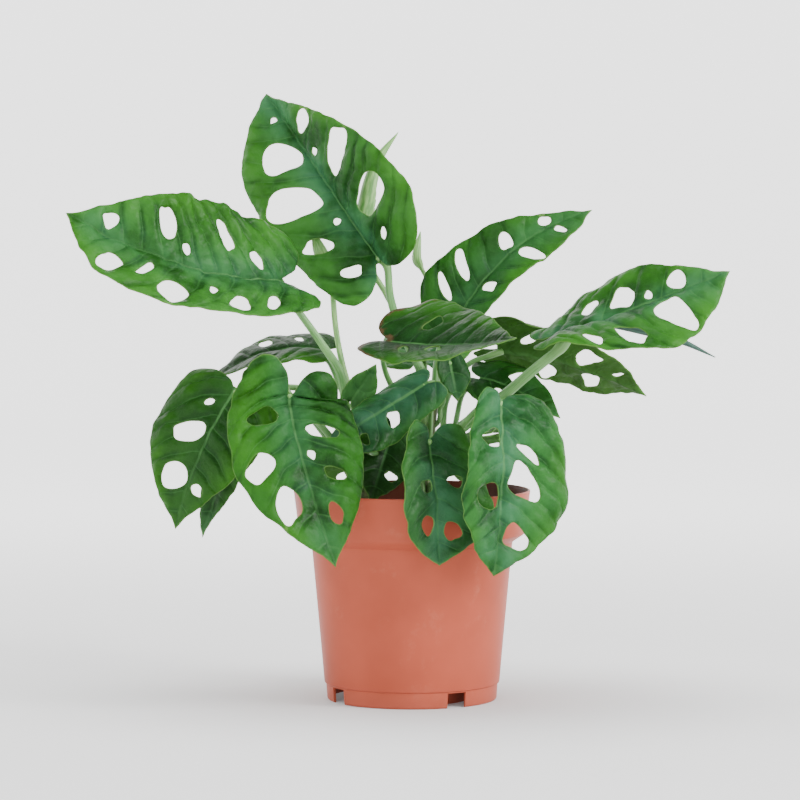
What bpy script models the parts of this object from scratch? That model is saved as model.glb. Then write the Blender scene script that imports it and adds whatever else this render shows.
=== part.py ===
"""A Swiss cheese vine (Monstera adansonii) in a terracotta-coloured plastic nursery pot.

Metres, +Z up, with -Y towards the viewer. The origin is the centre of the pot's base, on the
surface that it stands on. Four short vines stand in holes in the soil. Each leaf has a stalk that
rises beside its vine, and a thin blade with windows between its side veins.
"""

import math
from typing import NamedTuple

import bmesh
import bpy
from mathutils import Matrix, Vector
from mathutils.geometry import delaunay_2d_cdt, intersect_point_line

MM = 0.001
CLEAR = 0.3  # mm between pieces that touch

# The pot, in mm. It is a 12 cm nursery pot.
POT_HEIGHT = 107.0
RIM_RADIUS = 60.4
BAND_FOOT_RADIUS = 57.8  # the tall band under the rim, at its lower edge
BAND_FOOT_HEIGHT = 85.0
SHOULDER_RADIUS = 51.4
SHOULDER_HEIGHT = 81.0
BODY_FOOT_RADIUS = 44.7
FOOT_TOP_RADIUS = 44.2
FOOT_RADIUS = 43.4
FOOT_HEIGHT = 8.0
WALL = 1.5
PAD_RADIUS = 29.0  # the middle of the floor, which rests on the ground like the foot ring
POT_SEGMENTS = 48
NOTCH_WIDTH = 10.5
NOTCH_REACH = 8.0  # of the block that cuts it, through the ring
NOTCH_ANGLES = (31, 121, 211, 301)  # degrees from the front towards +X
DRAIN_RADIUS = 3.5
DRAIN_CIRCLE = 36.5
DRAINS = 6

# The soil, in mm.
SOIL_TOP = 95.0
SOIL_SWELL = 2.0
SOIL_RINGS = 6
STEM_DEPTH = 26.0
STEM_RADIUS = 3.0
STEM_TAPER = 0.6

# Blades, in mm.
BLADE = 0.7
VEIN_LEAN = 0.42  # how far a side vein runs towards the tip for each mm that it runs outwards
VEIN_SWEEP = 0.0045  # and how much it bends towards the tip, for each mm squared
WAVE_PITCH = 34.0
INNER_SPACING = 13.0  # between the points inside a blade
EDGE_POINTS = 15  # round each half of a blade
WINDOW_POINTS = 7
MIDRIB_POINTS = 8

# Half the outline of a blade, from the stalk round the basal lobe to the drip tip. The first
# number is a share of the lobe's reach behind the stalk, or of the midrib's length ahead of it, and
# the second is a share of the half's width.
HALF_OUTLINE = (
    (-0.02, 0.045),
    (-0.55, 0.14),
    (-0.97, 0.36),
    (-0.80, 0.66),
    (0.02, 0.88),
    (0.20, 1.00),
    (0.40, 0.98),
    (0.60, 0.80),
    (0.78, 0.50),
    (0.90, 0.22),
    (0.965, 0.06),
    (1.0, 0.0),
)
PLAIN_BELLY = 0.28  # where that outline is widest, as a share of the midrib
WIDEST = 5  # the number of that point in the list

# Stalks, in mm.
RING_SPACING = 6.5
STALK_RISE = 7.0  # beside the vine
STALK_RUN_IN = 6.0  # straight up to the blade
ROLL_RINGS = 9  # along a new leaf that is still rolled up

LEFT = -1
RIGHT = 1


class Stalk(NamedTuple):
    """A leaf's stalk, from its vine to its blade, in mm and degrees."""

    vine: str
    height: float  # where it leaves the vine
    heading: float  # which side of the vine, anticlockwise from +X
    via: tuple  # the points that it passes
    base: float = 2.0  # radius beside the vine
    neck: float = 1.3  # radius at the blade
    slant: float = 60.0  # between its end and the blade's normal


class Leaf(NamedTuple):
    """A blade, in mm and degrees. Its left and right are seen on the upper face, tip upwards."""

    joint: tuple  # where the stalk meets the midrib
    tip: tuple
    side: tuple  # the way that the right half reaches
    stalk: Stalk
    halves: tuple = (24, 24)  # widths, left and right as in every pair below
    bow: tuple = (0, 0, 0)  # how far the midrib's middle stands off the line from joint to tip
    lobes: tuple = (13, 13)  # reach behind the joint
    bellies: tuple = (0.3, 0.3)  # where each half is widest, as a share of the midrib
    shoulders: tuple = (1, 1)  # narrows the lobes, as a share of their width
    fold: float = 14.0  # rise of the halves beside the midrib
    curl: float = 26.0  # how much they turn back down by the margin
    twist: float = 0.0  # turn about the midrib from joint to tip
    wave: float = 1.2  # height of the waves in the margin
    windows: tuple = ()  # half, place on the midrib, inner and outer end, width


class Vine(NamedTuple):
    """A short vine: where its line meets the soil and where it ends, in mm."""

    foot: tuple
    top: tuple


class Bud(NamedTuple):
    """A new leaf, still rolled up on its stalk, in mm."""

    stalk: Stalk
    roll: tuple  # the points of the rolled blade, from its base to its tip
    thickness: float = 3.2  # its largest radius


VINES = {
    "middle": Vine((5, 4, SOIL_TOP), (11, 3, 150)),
    "left": Vine((-23, -6, SOIL_TOP), (-29, -4, 148)),
    "front": Vine((6, -16, SOIL_TOP), (5, -15, 126)),
    "back": Vine((3, 27, SOIL_TOP), (2, 30, 125)),
}

LEAVES = {
    "upper_left": Leaf(
        (-65, -16, 213.7),
        (-170.3, -60, 248.3),
        (-0.09, 0.74, 0.66),
        Stalk("left", 136, 200, ((-35.6, -5, 165), (-46.7, -8, 183), (-58, -11, 199)), 2.4, 1.6),
        halves=(36, 38),
        bow=(3, -14, -8),
        lobes=(16, 16),
        bellies=(0.56, 0.41),
        fold=21,
        curl=4,
        twist=-23,
        windows=(
            (RIGHT, 9, 6, 16, 7),
            (RIGHT, 25, 13, 29, 8),
            (RIGHT, 56, 6, 12, 4),
            (RIGHT, 66, 11, 26, 10),
            (RIGHT, 101, 4, 12, 8),
            (LEFT, 8, 16, 25, 6),
            (LEFT, 24, 18, 30, 9),
            (LEFT, 40, 13, 20, 4),
            (LEFT, 55, 18, 32, 14),
            (LEFT, 74, 8, 20, 4),
            (LEFT, 88, 13, 24, 11),
        ),
    ),
    "crown": Leaf(
        (-16.7, -5, 223.1),
        (-75.2, 45, 309.3),
        (0.67, -0.35, 0.66),
        Stalk("middle", 139, 210, ((5, -0.5, 158), (4.6, 0, 168), (-5.6, 0, 188), (-11, -1, 205)), 2.6, 1.8),
        halves=(41, 44),
        bow=(-1, -5, 2),
        lobes=(13, 10),
        bellies=(0.52, 0.19),
        fold=38,
        curl=46,
        windows=(
            (LEFT, 97, 3, 7, 4),
            (RIGHT, 78, 6, 18, 9),
            (LEFT, 71, 3, 22, 18),
            (RIGHT, 64, 5, 9, 4),
            (RIGHT, 46, 9, 31, 11),
            (LEFT, 41, 7, 35, 18),
            (LEFT, 27, 5, 9, 4),
            (RIGHT, 15, 12, 33, 14),
            (RIGHT, 0, 13, 19, 4),
            (LEFT, 13, 15, 30, 8),
            (LEFT, -4, 10, 20, 6),
        ),
    ),
    "upper_right": Leaf(
        (23.7, 15, 192.9),
        (92.5, 20, 249.3),
        (0.55, -0.55, -0.62),
        Stalk("middle", 131, 105, ((11.5, 9.5, 148), (12, 11, 159), (13, 14, 171), (16.5, 18, 183)), 2.4, 1.7),
        halves=(27, 20),
        bow=(-6, -2, 7.5),
        lobes=(14, 16),
        bellies=(0.1, 0.6),
        fold=20,
        curl=2,
        windows=(
            (LEFT, 66, 2, 7, 7),
            (LEFT, 43, 2, 11, 7),
            (LEFT, 16, 6, 22, 5),
            (LEFT, 3, 8, 22, 4),
            (RIGHT, 70, 2, 10, 4),
            (RIGHT, 47, 3, 19, 7),
            (RIGHT, 20, 3, 11, 6),
        ),
    ),
    "right": Leaf(
        (74.2, -25, 185.8),
        (159, -30, 219.1),
        (0, -0.99, -0.15),
        Stalk("front", 111, 10, ((14, -12, 130), (28, -12, 142), (44, -15, 154), (60, -20, 168)), 3.1, 2.4),
        halves=(33, 38),
        lobes=(15, 14),
        bellies=(0.16, 0.44),
        fold=20,
        curl=33,
        twist=62,
        windows=(
            (LEFT, 12, 9, 19, 8),
            (LEFT, 32, 3, 16, 13),
            (LEFT, 47, 2, 7, 4),
            (LEFT, 62, 2, 11, 10),
            (RIGHT, 2, 21, 31, 7),
            (RIGHT, 20, 18, 34, 10),
            (RIGHT, 51, 4, 27, 14),
        ),
    ),
    "centre": Leaf(
        (-12.6, -45, 184.7),
        (50.4, -95, 188.2),
        (-0.54, -0.71, -0.45),
        Stalk("middle", 118, 218, ((-3, 0, 144), (-9, -1, 157), (-13.5, -7, 167.5), (-15, -20, 176)), 1.7, 1.2),
        halves=(33, 28),
        bow=(1.4, 1.6, -2.8),
        lobes=(11, 8),
        bellies=(0.18, 0.4),
        fold=18,
        curl=14,
        windows=((LEFT, 12, 10, 20, 8), (RIGHT, 30, 3, 13, 8), (RIGHT, 12, 6, 15, 5)),
    ),
    "lower_right": Leaf(
        (44.4, 34, 177.6),
        (122.6, 46, 151.9),
        (0.31, -0.84, 0.44),
        Stalk("middle", 115, 75, ((15.5, 17, 135), (18, 28, 151), (28, 34, 168)), 1.8, 1.4),
        halves=(26, 31),
        bow=(2.7, -7.7, 3.6),
        lobes=(14, 12),
        bellies=(0.6, 0.14),
        fold=16,
        curl=25,
        windows=(
            (RIGHT, 9, 7, 18, 5),
            (RIGHT, 26, 3, 9, 4),
            (RIGHT, 41, 2, 15, 10),
            (RIGHT, 62, 2, 7, 4),
            (LEFT, 50, 5, 18, 11),
            (LEFT, 20, 9, 22, 12),
        ),
    ),
    "right_low": Leaf(
        (35, 20, 163),
        (76, 8, 143),
        (-0.46, -0.72, -0.5),
        Stalk("middle", 104, 20, ((20, 14, 128), (23, 19, 142), (26, 23, 154)), 1.7, 1.3),
        halves=(18, 20),
        bow=(0, 0, 3),
        lobes=(7, 9),
        windows=((LEFT, 14, 4, 13, 5), (RIGHT, 10, 5, 15, 6), (RIGHT, 26, 3, 12, 5)),
    ),
    "front_right": Leaf(
        (43.6, -62, 156.8),
        (39.5, -75, 70.6),
        (-0.83, -0.55, 0.12),
        Stalk("front", 100, 330, ((18, -28, 130), (30, -42, 148)), 2.0, 1.5, 30),
        halves=(39, 23),
        bow=(2.4, -7, 1),
        lobes=(5, 4),
        bellies=(0.5, 0.54),
        shoulders=(0.85, 0.5),
        fold=10,
        curl=17,
        windows=(
            (RIGHT, 18, 2, 11, 9),
            (RIGHT, 46, 2, 14, 13),
            (LEFT, 19, 8, 22, 5),
            (LEFT, 36, 3, 22, 16),
            (LEFT, 65, 3, 17, 12),
        ),
    ),
    "front_centre": Leaf(
        (8.7, -54, 137.5),
        (13.6, -68, 74.8),
        (-0.82, -0.56, 0.06),
        Stalk("front", 107, 265, ((5, -30, 130), (6, -41, 138)), 1.7, 1.3, 35),
        halves=(30, 25),
        bow=(0.3, -6.2, 1.4),
        lobes=(8, 6),
        bellies=(0.55, 0.55),
        shoulders=(0.85, 0.45),
        fold=22,
        curl=14,
        windows=((RIGHT, 24, 3, 11, 6), (RIGHT, 42, 3, 12, 9), (LEFT, 46, 3, 12, 9), (LEFT, 19, 7, 14, 6)),
    ),
    "front_left": Leaf(
        (-60.2, -64, 159.4),
        (-37.4, -78, 75.4),
        (-0.93, -0.31, -0.2),
        Stalk("left", 111, 240, ((-33, -18, 138), (-42, -34, 153), (-50, -47, 160)), 2.0, 1.5, 35),
        halves=(33, 35),
        bow=(-6.8, 3.4, 15),
        lobes=(14, 18),
        bellies=(0.5, 0.48),
        fold=17,
        curl=38,
        windows=(
            (RIGHT, 14, 8, 22, 12),
            (RIGHT, 37, 15, 29, 11),
            (RIGHT, 59, 8, 20, 13),
            (LEFT, 31, 5, 21, 7),
            (LEFT, 46, 3, 7, 4),
            (LEFT, 52, 9, 19, 5),
            (LEFT, 69, 5, 12, 7),
        ),
    ),
    "left_low": Leaf(
        (-89.2, -10, 159.4),
        (-119.7, -20, 88.6),
        (-0.86, 0.42, 0.31),
        Stalk("left", 104, 190, ((-38, -8, 130), (-56, -9, 150), (-73, -9, 161)), 1.8, 1.4, 45),
        halves=(30, 33),
        bow=(-2.8, -6.4, 2),
        lobes=(12, 5),
        bellies=(0.22, 0.32),
        fold=9,
        curl=27,
        windows=((RIGHT, 25, 3, 19, 12), (RIGHT, 50, 2, 16, 14), (LEFT, 54, 3, 10, 6), (RIGHT, 8, 6, 11, 4)),
    ),
    "left_back": Leaf(
        (-46, 22, 177),
        (-108, 30, 157),
        (0.09, 0.93, 0.32),
        Stalk("left", 121, 120, ((-33, 8, 148), (-39, 14, 164)), 1.6, 1.3),
        halves=(22, 22),
        bow=(0, 0, 8),
        lobes=(8, 8),
        windows=((LEFT, 28, 6, 15, 6), (RIGHT, 28, 6, 15, 6), (RIGHT, 10, 7, 14, 4)),
    ),
    "left_hanging": Leaf(
        (-75, 6, 155),
        (-108, 13, 81),
        (-0.8, 0.4, 0.4),
        Stalk("left", 99, 142, ((-38, 2, 125), (-54, 5, 146), (-65, 8, 156)), 1.5, 1.2, 45),
        halves=(12, 16),
        bow=(-2, -4, 2),
        lobes=(6, 6),
        windows=((RIGHT, 22, 4, 10, 5), (LEFT, 30, 4, 9, 5)),
    ),
    "middle": Leaf(
        (8, -20, 163),
        (-43.3, -52, 133),
        (-0.66, 0.41, 0.63),
        Stalk("middle", 129, 265, ((9.5, -8, 148), (10.5, -13, 156)), 1.6, 1.3),
        halves=(18, 12),
        bow=(-3, 4, -2),
        lobes=(6, 4),
        bellies=(0.55, 0.3),
        fold=2,
        curl=30,
        windows=((LEFT, 22, 3, 11, 7), (LEFT, 42, 5, 11, 5)),
    ),
    "small": Leaf(
        (-31, -14, 153),
        (-18, -21, 172),
        (0.75, 0.2, -0.4),
        Stalk("left", 138, 290, ((-28, -11, 147),), 1.2, 0.9),
        halves=(8, 9),
        lobes=(3, 3),
        fold=24,
        wave=0.6,
    ),
    "small_dark": Leaf(
        (19, -9, 174),
        (23, -18, 153),
        (-0.9, -0.4, 0),
        Stalk("middle", 142, 330, ((16, 0, 152), (17, -3, 163)), 1.2, 0.9, 20),
        halves=(10, 9),
        lobes=(4, 4),
    ),
    "inner": Leaf(
        (-10, -18, 138),
        (-21, -46, 104),
        (-0.93, -0.1, 0.3),
        Stalk("front", 104, 150, ((-3, -12.5, 125),), 1.5, 1.2, 40),
        halves=(16, 16),
        lobes=(7, 7),
        windows=((LEFT, 24, 3, 9, 5), (RIGHT, 14, 4, 9, 4)),
    ),
    "back_left": Leaf(
        (-20, 48, 126),
        (-36, 118, 78),
        (0.96, 0.33, -0.07),
        Stalk("back", 101, 130, ((-8, 38, 120),), 1.7, 1.3, 70),
        halves=(25, 22),
        bow=(0, 8, 12),
        windows=(
            (RIGHT, 16, 6, 16, 6),
            (RIGHT, 38, 5, 15, 8),
            (LEFT, 14, 7, 18, 7),
            (LEFT, 36, 6, 17, 8),
            (LEFT, 58, 4, 10, 6),
        ),
    ),
    "back_right": Leaf(
        (27, 56, 131),
        (40, 120, 84),
        (0.98, -0.1, 0.1),
        Stalk("back", 105, 60, ((9, 36.5, 117), (16, 46, 127)), 1.7, 1.3, 70),
        halves=(22, 24),
        bow=(0, 8, 12),
        windows=((RIGHT, 16, 6, 17, 7), (RIGHT, 38, 5, 15, 8), (LEFT, 14, 6, 15, 6), (LEFT, 36, 5, 14, 8)),
    ),
    "back_high": Leaf(
        (6, 53, 170),
        (18, 140, 178),
        (0.98, -0.12, 0.05),
        Stalk("back", 117, 120, ((1, 40, 142), (4, 45, 160)), 1.9, 1.5),
        halves=(27, 28),
        bow=(0, 0, 8),
        windows=(
            (RIGHT, 14, 8, 20, 7),
            (RIGHT, 38, 6, 20, 9),
            (RIGHT, 64, 4, 12, 7),
            (LEFT, 16, 8, 19, 7),
            (LEFT, 40, 6, 19, 10),
        ),
    ),
}

BUDS = {
    "bud_crown": Bud(
        Stalk("middle", 141, 150, ((5.5, 7, 158), (3, 7, 170), (-4, 8, 188), (-13, 9, 206)), 1.7, 1.4),
        ((-26, 15, 230), (-23, 18, 254), (-17.5, 20, 274), (-7.1, 22, 289)),
        4.6,
    ),
    "bud_left": Bud(
        Stalk("left", 129, 60, ((-30, 2, 152), (-35.5, 2, 171), (-39, 5, 190), (-40.8, 8, 210)), 1.7, 1.4),
        ((-43, 10, 220), (-47, 11, 229), (-51, 12, 239)),
        3.4,
    ),
    "bud_right": Bud(
        Stalk("middle", 122, 0, ((24, -2, 138), (44, -6, 152.5), (61, -7, 168), (79, -5, 183.5)), 1.5, 1.1),
        ((96, 0, 191.6), (124, -5, 187), (138, -5, 182.5), (154, -5, 174.7)),
        2.6,
    ),
    "bud_back": Bud(
        Stalk("back", 108, 330, ((9, 25, 132), (13, 24, 152), (18, 28, 172), (18, 35, 190), (12, 40, 206)), 1.4, 1.1),
        ((5, 41, 219), (2.5, 40, 226), (4.5, 42, 238)),
        2.4,
    ),
}


def at(point):
    """A point given in mm, in metres."""
    return Vector(point) * MM


def smooth(points, steps):
    """A smooth curve through the points, with this many steps between two of them."""
    ends = [2 * points[0] - points[1], *points, 2 * points[-1] - points[-2]]
    curve = []
    for before, start, end, after in zip(ends, ends[1:], ends[2:], ends[3:]):
        for step in range(steps):
            t = step / steps
            bend = 2 * before - 5 * start + 4 * end - after
            turn = 3 * start - before - 3 * end + after
            curve.append(0.5 * (2 * start + (end - before) * t + bend * t**2 + turn * t**3))
    curve.append(points[-1].copy())
    return curve


def length_of(points):
    return sum((end - start).length for start, end in zip(points, points[1:]))


def spread(points, count):
    """This many points at even distances along a curve."""
    reached = [0.0]
    for start, end in zip(points, points[1:]):
        reached.append(reached[-1] + (end - start).length)
    found = []
    place = 0
    for number in range(count):
        distance = reached[-1] * number / (count - 1)
        while place < len(points) - 2 and reached[place + 1] < distance:
            place += 1
        span = reached[place + 1] - reached[place]
        found.append(points[place].lerp(points[place + 1], (distance - reached[place]) / span))
    return found


def pick(pair, half):
    """The left or right one of a pair."""
    return pair[0] if half == LEFT else pair[1]


class Blade:
    """The surface of one blade, in mm: u runs along the midrib and v out to the right."""

    def __init__(self, leaf):
        self.leaf = leaf
        self.start = Vector(leaf.joint)
        self.end = Vector(leaf.tip)
        self.pull = (self.start + self.end) / 2 + 2 * Vector(leaf.bow)
        self.length = length_of([self.midrib(step / 32)[0] for step in range(33)])

    def midrib(self, t):
        """A point of the midrib and its direction there."""
        point = (1 - t) ** 2 * self.start + 2 * t * (1 - t) * self.pull + t**2 * self.end
        along = (1 - t) * (self.pull - self.start) + t * (self.end - self.pull)
        return point, along.normalized()

    def axes(self, u):
        """The midrib at u, with the directions along it, out to the right and up from the face."""
        t = min(max(u / self.length, 0.0), 1.0)
        point, along = self.midrib(t)
        side = Matrix.Rotation(math.radians(self.leaf.twist * t), 3, along) @ Vector(self.leaf.side)
        side = (side - along * side.dot(along)).normalized()
        return point + along * (u - t * self.length), along, side, side.cross(along)

    def point(self, u, v):
        """The middle of the blade's thickness. Each half rises from the midrib and curls back down."""
        origin, _, side, up = self.axes(u)
        half = RIGHT if v > 0 else LEFT
        width = pick(self.leaf.halves, half)
        out = abs(v)
        fold = math.radians(self.leaf.fold)
        bend = math.radians(self.leaf.curl) / width
        across = (math.sin(fold) - math.sin(fold - bend * out)) / bend
        rise = (math.cos(fold - bend * out) - math.cos(fold)) / bend
        rise += self.leaf.wave * (out / width) ** 2 * math.sin(math.tau * u / WAVE_PITCH + half)
        return origin + side * (half * across) + up * rise

    def edge(self, half):
        """The outline of one half in u and v, from the joint to the tip."""
        power = math.log(pick(self.leaf.bellies, half)) / math.log(PLAIN_BELLY)
        shoulder = pick(self.leaf.shoulders, half)
        points = []
        for number, (along, out) in enumerate(HALF_OUTLINE):
            if along < 0:
                u = along * pick(self.leaf.lobes, half)
            else:
                u = along**power * self.length
            narrowed = shoulder + (1 - shoulder) * min(number / WIDEST, 1)
            points.append(Vector((u, half * out * narrowed * pick(self.leaf.halves, half))))
        return smooth(points, 6)

    def window(self, half, along, inner, outer, width, count):
        """The outline of one window in u and v. It lies along the side veins and is egg-shaped."""
        egg = 0.22 * math.sin(1.7 * along)
        points = []
        for number in range(count):
            angle = math.tau * number / count
            out = (inner + outer - (outer - inner) * math.cos(angle)) / 2
            slope = VEIN_LEAN + 2 * VEIN_SWEEP * out
            aside = width / 2 * math.sin(angle) * (1 - egg * math.cos(angle)) / math.hypot(1, slope)
            u = along + VEIN_LEAN * out + VEIN_SWEEP * out**2 + aside
            points.append(Vector((u, half * (out - slope * aside))))
        return points


def inside(point, loop):
    """Whether a flat point lies inside a closed loop."""
    odd = False
    for a, b in zip(loop, loop[1:] + loop[:1]):
        if (a.y > point.y) != (b.y > point.y):
            odd ^= point.x < a.x + (point.y - a.y) * (b.x - a.x) / (b.y - a.y)
    return odd


def distance_to(point, loop):
    nearest = math.inf
    for a, b in zip(loop, loop[1:] + loop[:1]):
        foot, share = intersect_point_line(point, a, b)
        foot = a if share < 0 else b if share > 1 else foot.to_2d()
        nearest = min(nearest, (point - foot).length)
    return nearest


def blade_pattern(blade):
    """The flat points and triangles of a blade, with its windows left open."""
    right = spread(blade.edge(RIGHT), EDGE_POINTS)
    left = spread(blade.edge(LEFT), EDGE_POINTS)
    outline = right + left[-2::-1]
    windows = [blade.window(*window, WINDOW_POINTS) for window in blade.leaf.windows]
    base = right[0].x
    rib = [Vector((base + (blade.length - base) * i / MIDRIB_POINTS, 0)) for i in range(MIDRIB_POINTS)]
    loops = [outline, *windows]
    points = [point for loop in loops for point in loop]
    edges = []
    for loop in loops:
        first = points.index(loop[0])
        edges += [(first + i, first + (i + 1) % len(loop)) for i in range(len(loop))]
    first = len(points)
    points += rib
    edges += [(first + i, first + i + 1) for i in range(len(rib) - 1)]
    edges.append((first + len(rib) - 1, len(right) - 1))
    rows = int(blade.length / INNER_SPACING) + 3
    for row in range(-2, rows):
        for column in (-2, -1, 1, 2):
            shift = INNER_SPACING / 2 * (column % 2)
            spot = Vector((row * INNER_SPACING + shift, column * INNER_SPACING))
            near = min(distance_to(spot, loop) for loop in loops)
            if near > INNER_SPACING / 3 and inside(spot, outline) and not any(inside(spot, w) for w in windows):
                points.append(spot)
    flat, _, faces, *_ = delaunay_2d_cdt(points, edges, [], 1, 1e-6)
    kept = []
    for face in faces:
        middle = sum((flat[i] for i in face), Vector((0, 0))) / 3
        if inside(middle, outline) and not any(inside(middle, window) for window in windows):
            kept.append(face)
    return flat, kept


def material(name, colour, roughness, metallic=0.0):
    made = bpy.data.materials.new(name)
    made.use_nodes = True
    shader = made.node_tree.nodes["Principled BSDF"]
    shader.inputs["Base Color"].default_value = (*colour, 1)
    shader.inputs["Roughness"].default_value = roughness
    shader.inputs["Metallic"].default_value = metallic
    made.diffuse_color = (*colour, 1)
    return made


def add(name, data, collection, surface=None):
    """A new object in a collection, with its own material."""
    made = bpy.data.objects.new(name, data)
    collection.objects.link(made)
    if surface:
        data.materials.append(surface)
    return made


def blade_object(name, leaf, collection, surface):
    blade = Blade(leaf)
    flat, faces = blade_pattern(blade)
    mesh = bpy.data.meshes.new(name)
    build = bmesh.new()
    corners = [build.verts.new(blade.point(*spot) * MM) for spot in flat]
    for face in faces:
        build.faces.new([corners[i] for i in face])
    loose = [corner for corner in corners if not corner.link_faces]
    bmesh.ops.delete(build, geom=loose, context="VERTS")
    build.faces.ensure_lookup_table()
    bmesh.ops.recalc_face_normals(build, faces=build.faces)
    if build.faces[0].normal.dot(blade.axes(0)[3]) < 0:
        bmesh.ops.reverse_faces(build, faces=build.faces)
    build.to_mesh(mesh)
    build.free()
    mesh.shade_smooth()
    made = add(name, mesh, collection, surface)
    shell = made.modifiers.new("thickness", "SOLIDIFY")
    shell.thickness = BLADE * MM
    shell.offset = 0
    return made


def vine_point(vine, height):
    """The middle of a vine at a height."""
    foot, top = Vector(vine.foot), Vector(vine.top)
    return foot.lerp(top, (height - foot.z) / (top.z - foot.z))


def stalk_start(stalk):
    """The stalk's first two points, which run beside its vine."""
    vine = VINES[stalk.vine]
    share = (stalk.height - vine.foot[2]) / (vine.top[2] - vine.foot[2])
    heading = math.radians(stalk.heading)
    beside = STEM_RADIUS - STEM_TAPER * share + stalk.base + CLEAR + 0.1
    aside = Vector((math.cos(heading), math.sin(heading), 0)) * beside
    return [vine_point(vine, stalk.height + rise) + aside for rise in (0, STALK_RISE)]


def stalk_end(leaf):
    """The stalk's last two points, which lead to the underside of the midrib."""
    origin, along, _, up = Blade(leaf).axes(2.0)
    slant = math.radians(leaf.stalk.slant)
    gap = BLADE / 2 + 1.4 * CLEAR + leaf.stalk.neck * math.sin(slant)
    end = origin - up * gap
    return [end - (up * math.cos(slant) + along * math.sin(slant)) * STALK_RUN_IN, end]


def tube(name, points, radii, collection, surface):
    """A round tube through the points, with its own radius at each."""
    curve = bpy.data.curves.new(name, "CURVE")
    curve.dimensions = "3D"
    curve.bevel_depth = MM
    curve.bevel_resolution = 2
    curve.use_fill_caps = True
    curve.twist_mode = "MINIMUM"
    spline = curve.splines.new("POLY")
    spline.points.add(len(points) - 1)
    for knot, point, radius in zip(spline.points, points, radii):
        knot.co = (*at(point), 1)
        knot.radius = radius
    return add(name, curve, collection, surface)


def rings(route):
    """Points at even distances along the smooth curve through a route."""
    curve = smooth(route, 8)
    return spread(curve, round(length_of(curve) / RING_SPACING) + 1)


def stalk_object(name, leaf, collection, surface):
    stalk = leaf.stalk
    route = [*stalk_start(stalk), *map(Vector, stalk.via), *stalk_end(leaf)]
    points = rings(route)
    last = len(points) - 1
    radii = [stalk.base + (stalk.neck - stalk.base) * (i / last) for i in range(last + 1)]
    return tube(name, points, radii, collection, surface)


def bud_object(name, bud, collection, surface):
    """A stalk that widens into a rolled leaf and runs out to its tip."""
    stalk = bud.stalk
    foot = [*stalk_start(stalk), *map(Vector, stalk.via)]
    lower = rings([*foot, Vector(bud.roll[0])])
    upper = spread(smooth([*map(Vector, bud.roll)], 8), ROLL_RINGS)
    points = lower + upper[1:]
    radii = []
    for i in range(len(lower)):
        radii.append(stalk.base + (stalk.neck - stalk.base) * i / (len(lower) - 1))
    for i in range(1, len(upper)):
        share = i / (len(upper) - 1)
        swell = math.sin(math.pi * share**0.7) * (bud.thickness - stalk.neck / 2)
        radii.append(stalk.neck * (1 - share) + swell + 0.4 * share)
    return tube(name, points, radii, collection, surface)


def turned(name, profile, collection, surface):
    """A shape turned round Z from points of radius and height in mm, down the outer side."""
    mesh = bpy.data.meshes.new(name)
    points = [(radius * MM, 0, height * MM) for radius, height in profile]
    mesh.from_pydata(points, [(i, i + 1) for i in range(len(points) - 1)], [])
    made = add(name, mesh, collection, surface)
    screw = made.modifiers.new("turn", "SCREW")
    screw.steps = POT_SEGMENTS
    screw.render_steps = POT_SEGMENTS
    screw.use_merge_vertices = True
    screw.merge_threshold = 0.00001
    screw.use_smooth_shade = True
    return made


def pot_profile():
    """The pot's section: down the outside, in under the foot ring to the middle, and back up inside."""
    foot_inner = FOOT_RADIUS - WALL
    outside = [
        (RIM_RADIUS - 0.5, POT_HEIGHT),
        (RIM_RADIUS, POT_HEIGHT - 0.6),
        (BAND_FOOT_RADIUS, BAND_FOOT_HEIGHT),
        (SHOULDER_RADIUS, SHOULDER_HEIGHT),
        (BODY_FOOT_RADIUS, FOOT_HEIGHT + 0.8),
        (FOOT_TOP_RADIUS, FOOT_HEIGHT),
        (FOOT_RADIUS, 1.0),
        (FOOT_RADIUS - 0.6, 0),
    ]
    under = [
        (foot_inner, 0),
        (foot_inner + 0.4, FOOT_HEIGHT),
        (PAD_RADIUS + 3.0, FOOT_HEIGHT),
        (PAD_RADIUS, 0),
        (0, 0),
    ]
    return outside + under + inner_wall() + [outside[0]]


def inner_wall():
    """The pot's inside, from the middle of its floor up to the rim."""
    return [
        (0, WALL),
        (PAD_RADIUS - 1.0, WALL),
        (PAD_RADIUS + 2.0, FOOT_HEIGHT + WALL),
        (BODY_FOOT_RADIUS - WALL, FOOT_HEIGHT + WALL),
        (SHOULDER_RADIUS - WALL, SHOULDER_HEIGHT + 1.0),
        (BAND_FOOT_RADIUS - WALL, BAND_FOOT_HEIGHT + 1.0),
        (RIM_RADIUS - 1.2 * WALL, POT_HEIGHT - 0.4),
        (RIM_RADIUS - WALL, POT_HEIGHT),
    ]


def cutter(name, data, collection):
    made = add(name, data, collection)
    made.hide_render = True
    made.display_type = "WIRE"
    return made


def cylinder(name, radius, low, high, sides, collection, place=(0, 0)):
    """An upright cylinder that only cuts, in mm."""
    mesh = bpy.data.meshes.new(name)
    build = bmesh.new()
    bmesh.ops.create_cone(
        build,
        cap_ends=True,
        segments=sides,
        radius1=radius * MM,
        radius2=radius * MM,
        depth=(high - low) * MM,
    )
    build.to_mesh(mesh)
    build.free()
    made = cutter(name, mesh, collection)
    made.location = at((*place, (low + high) / 2))
    return made


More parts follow.
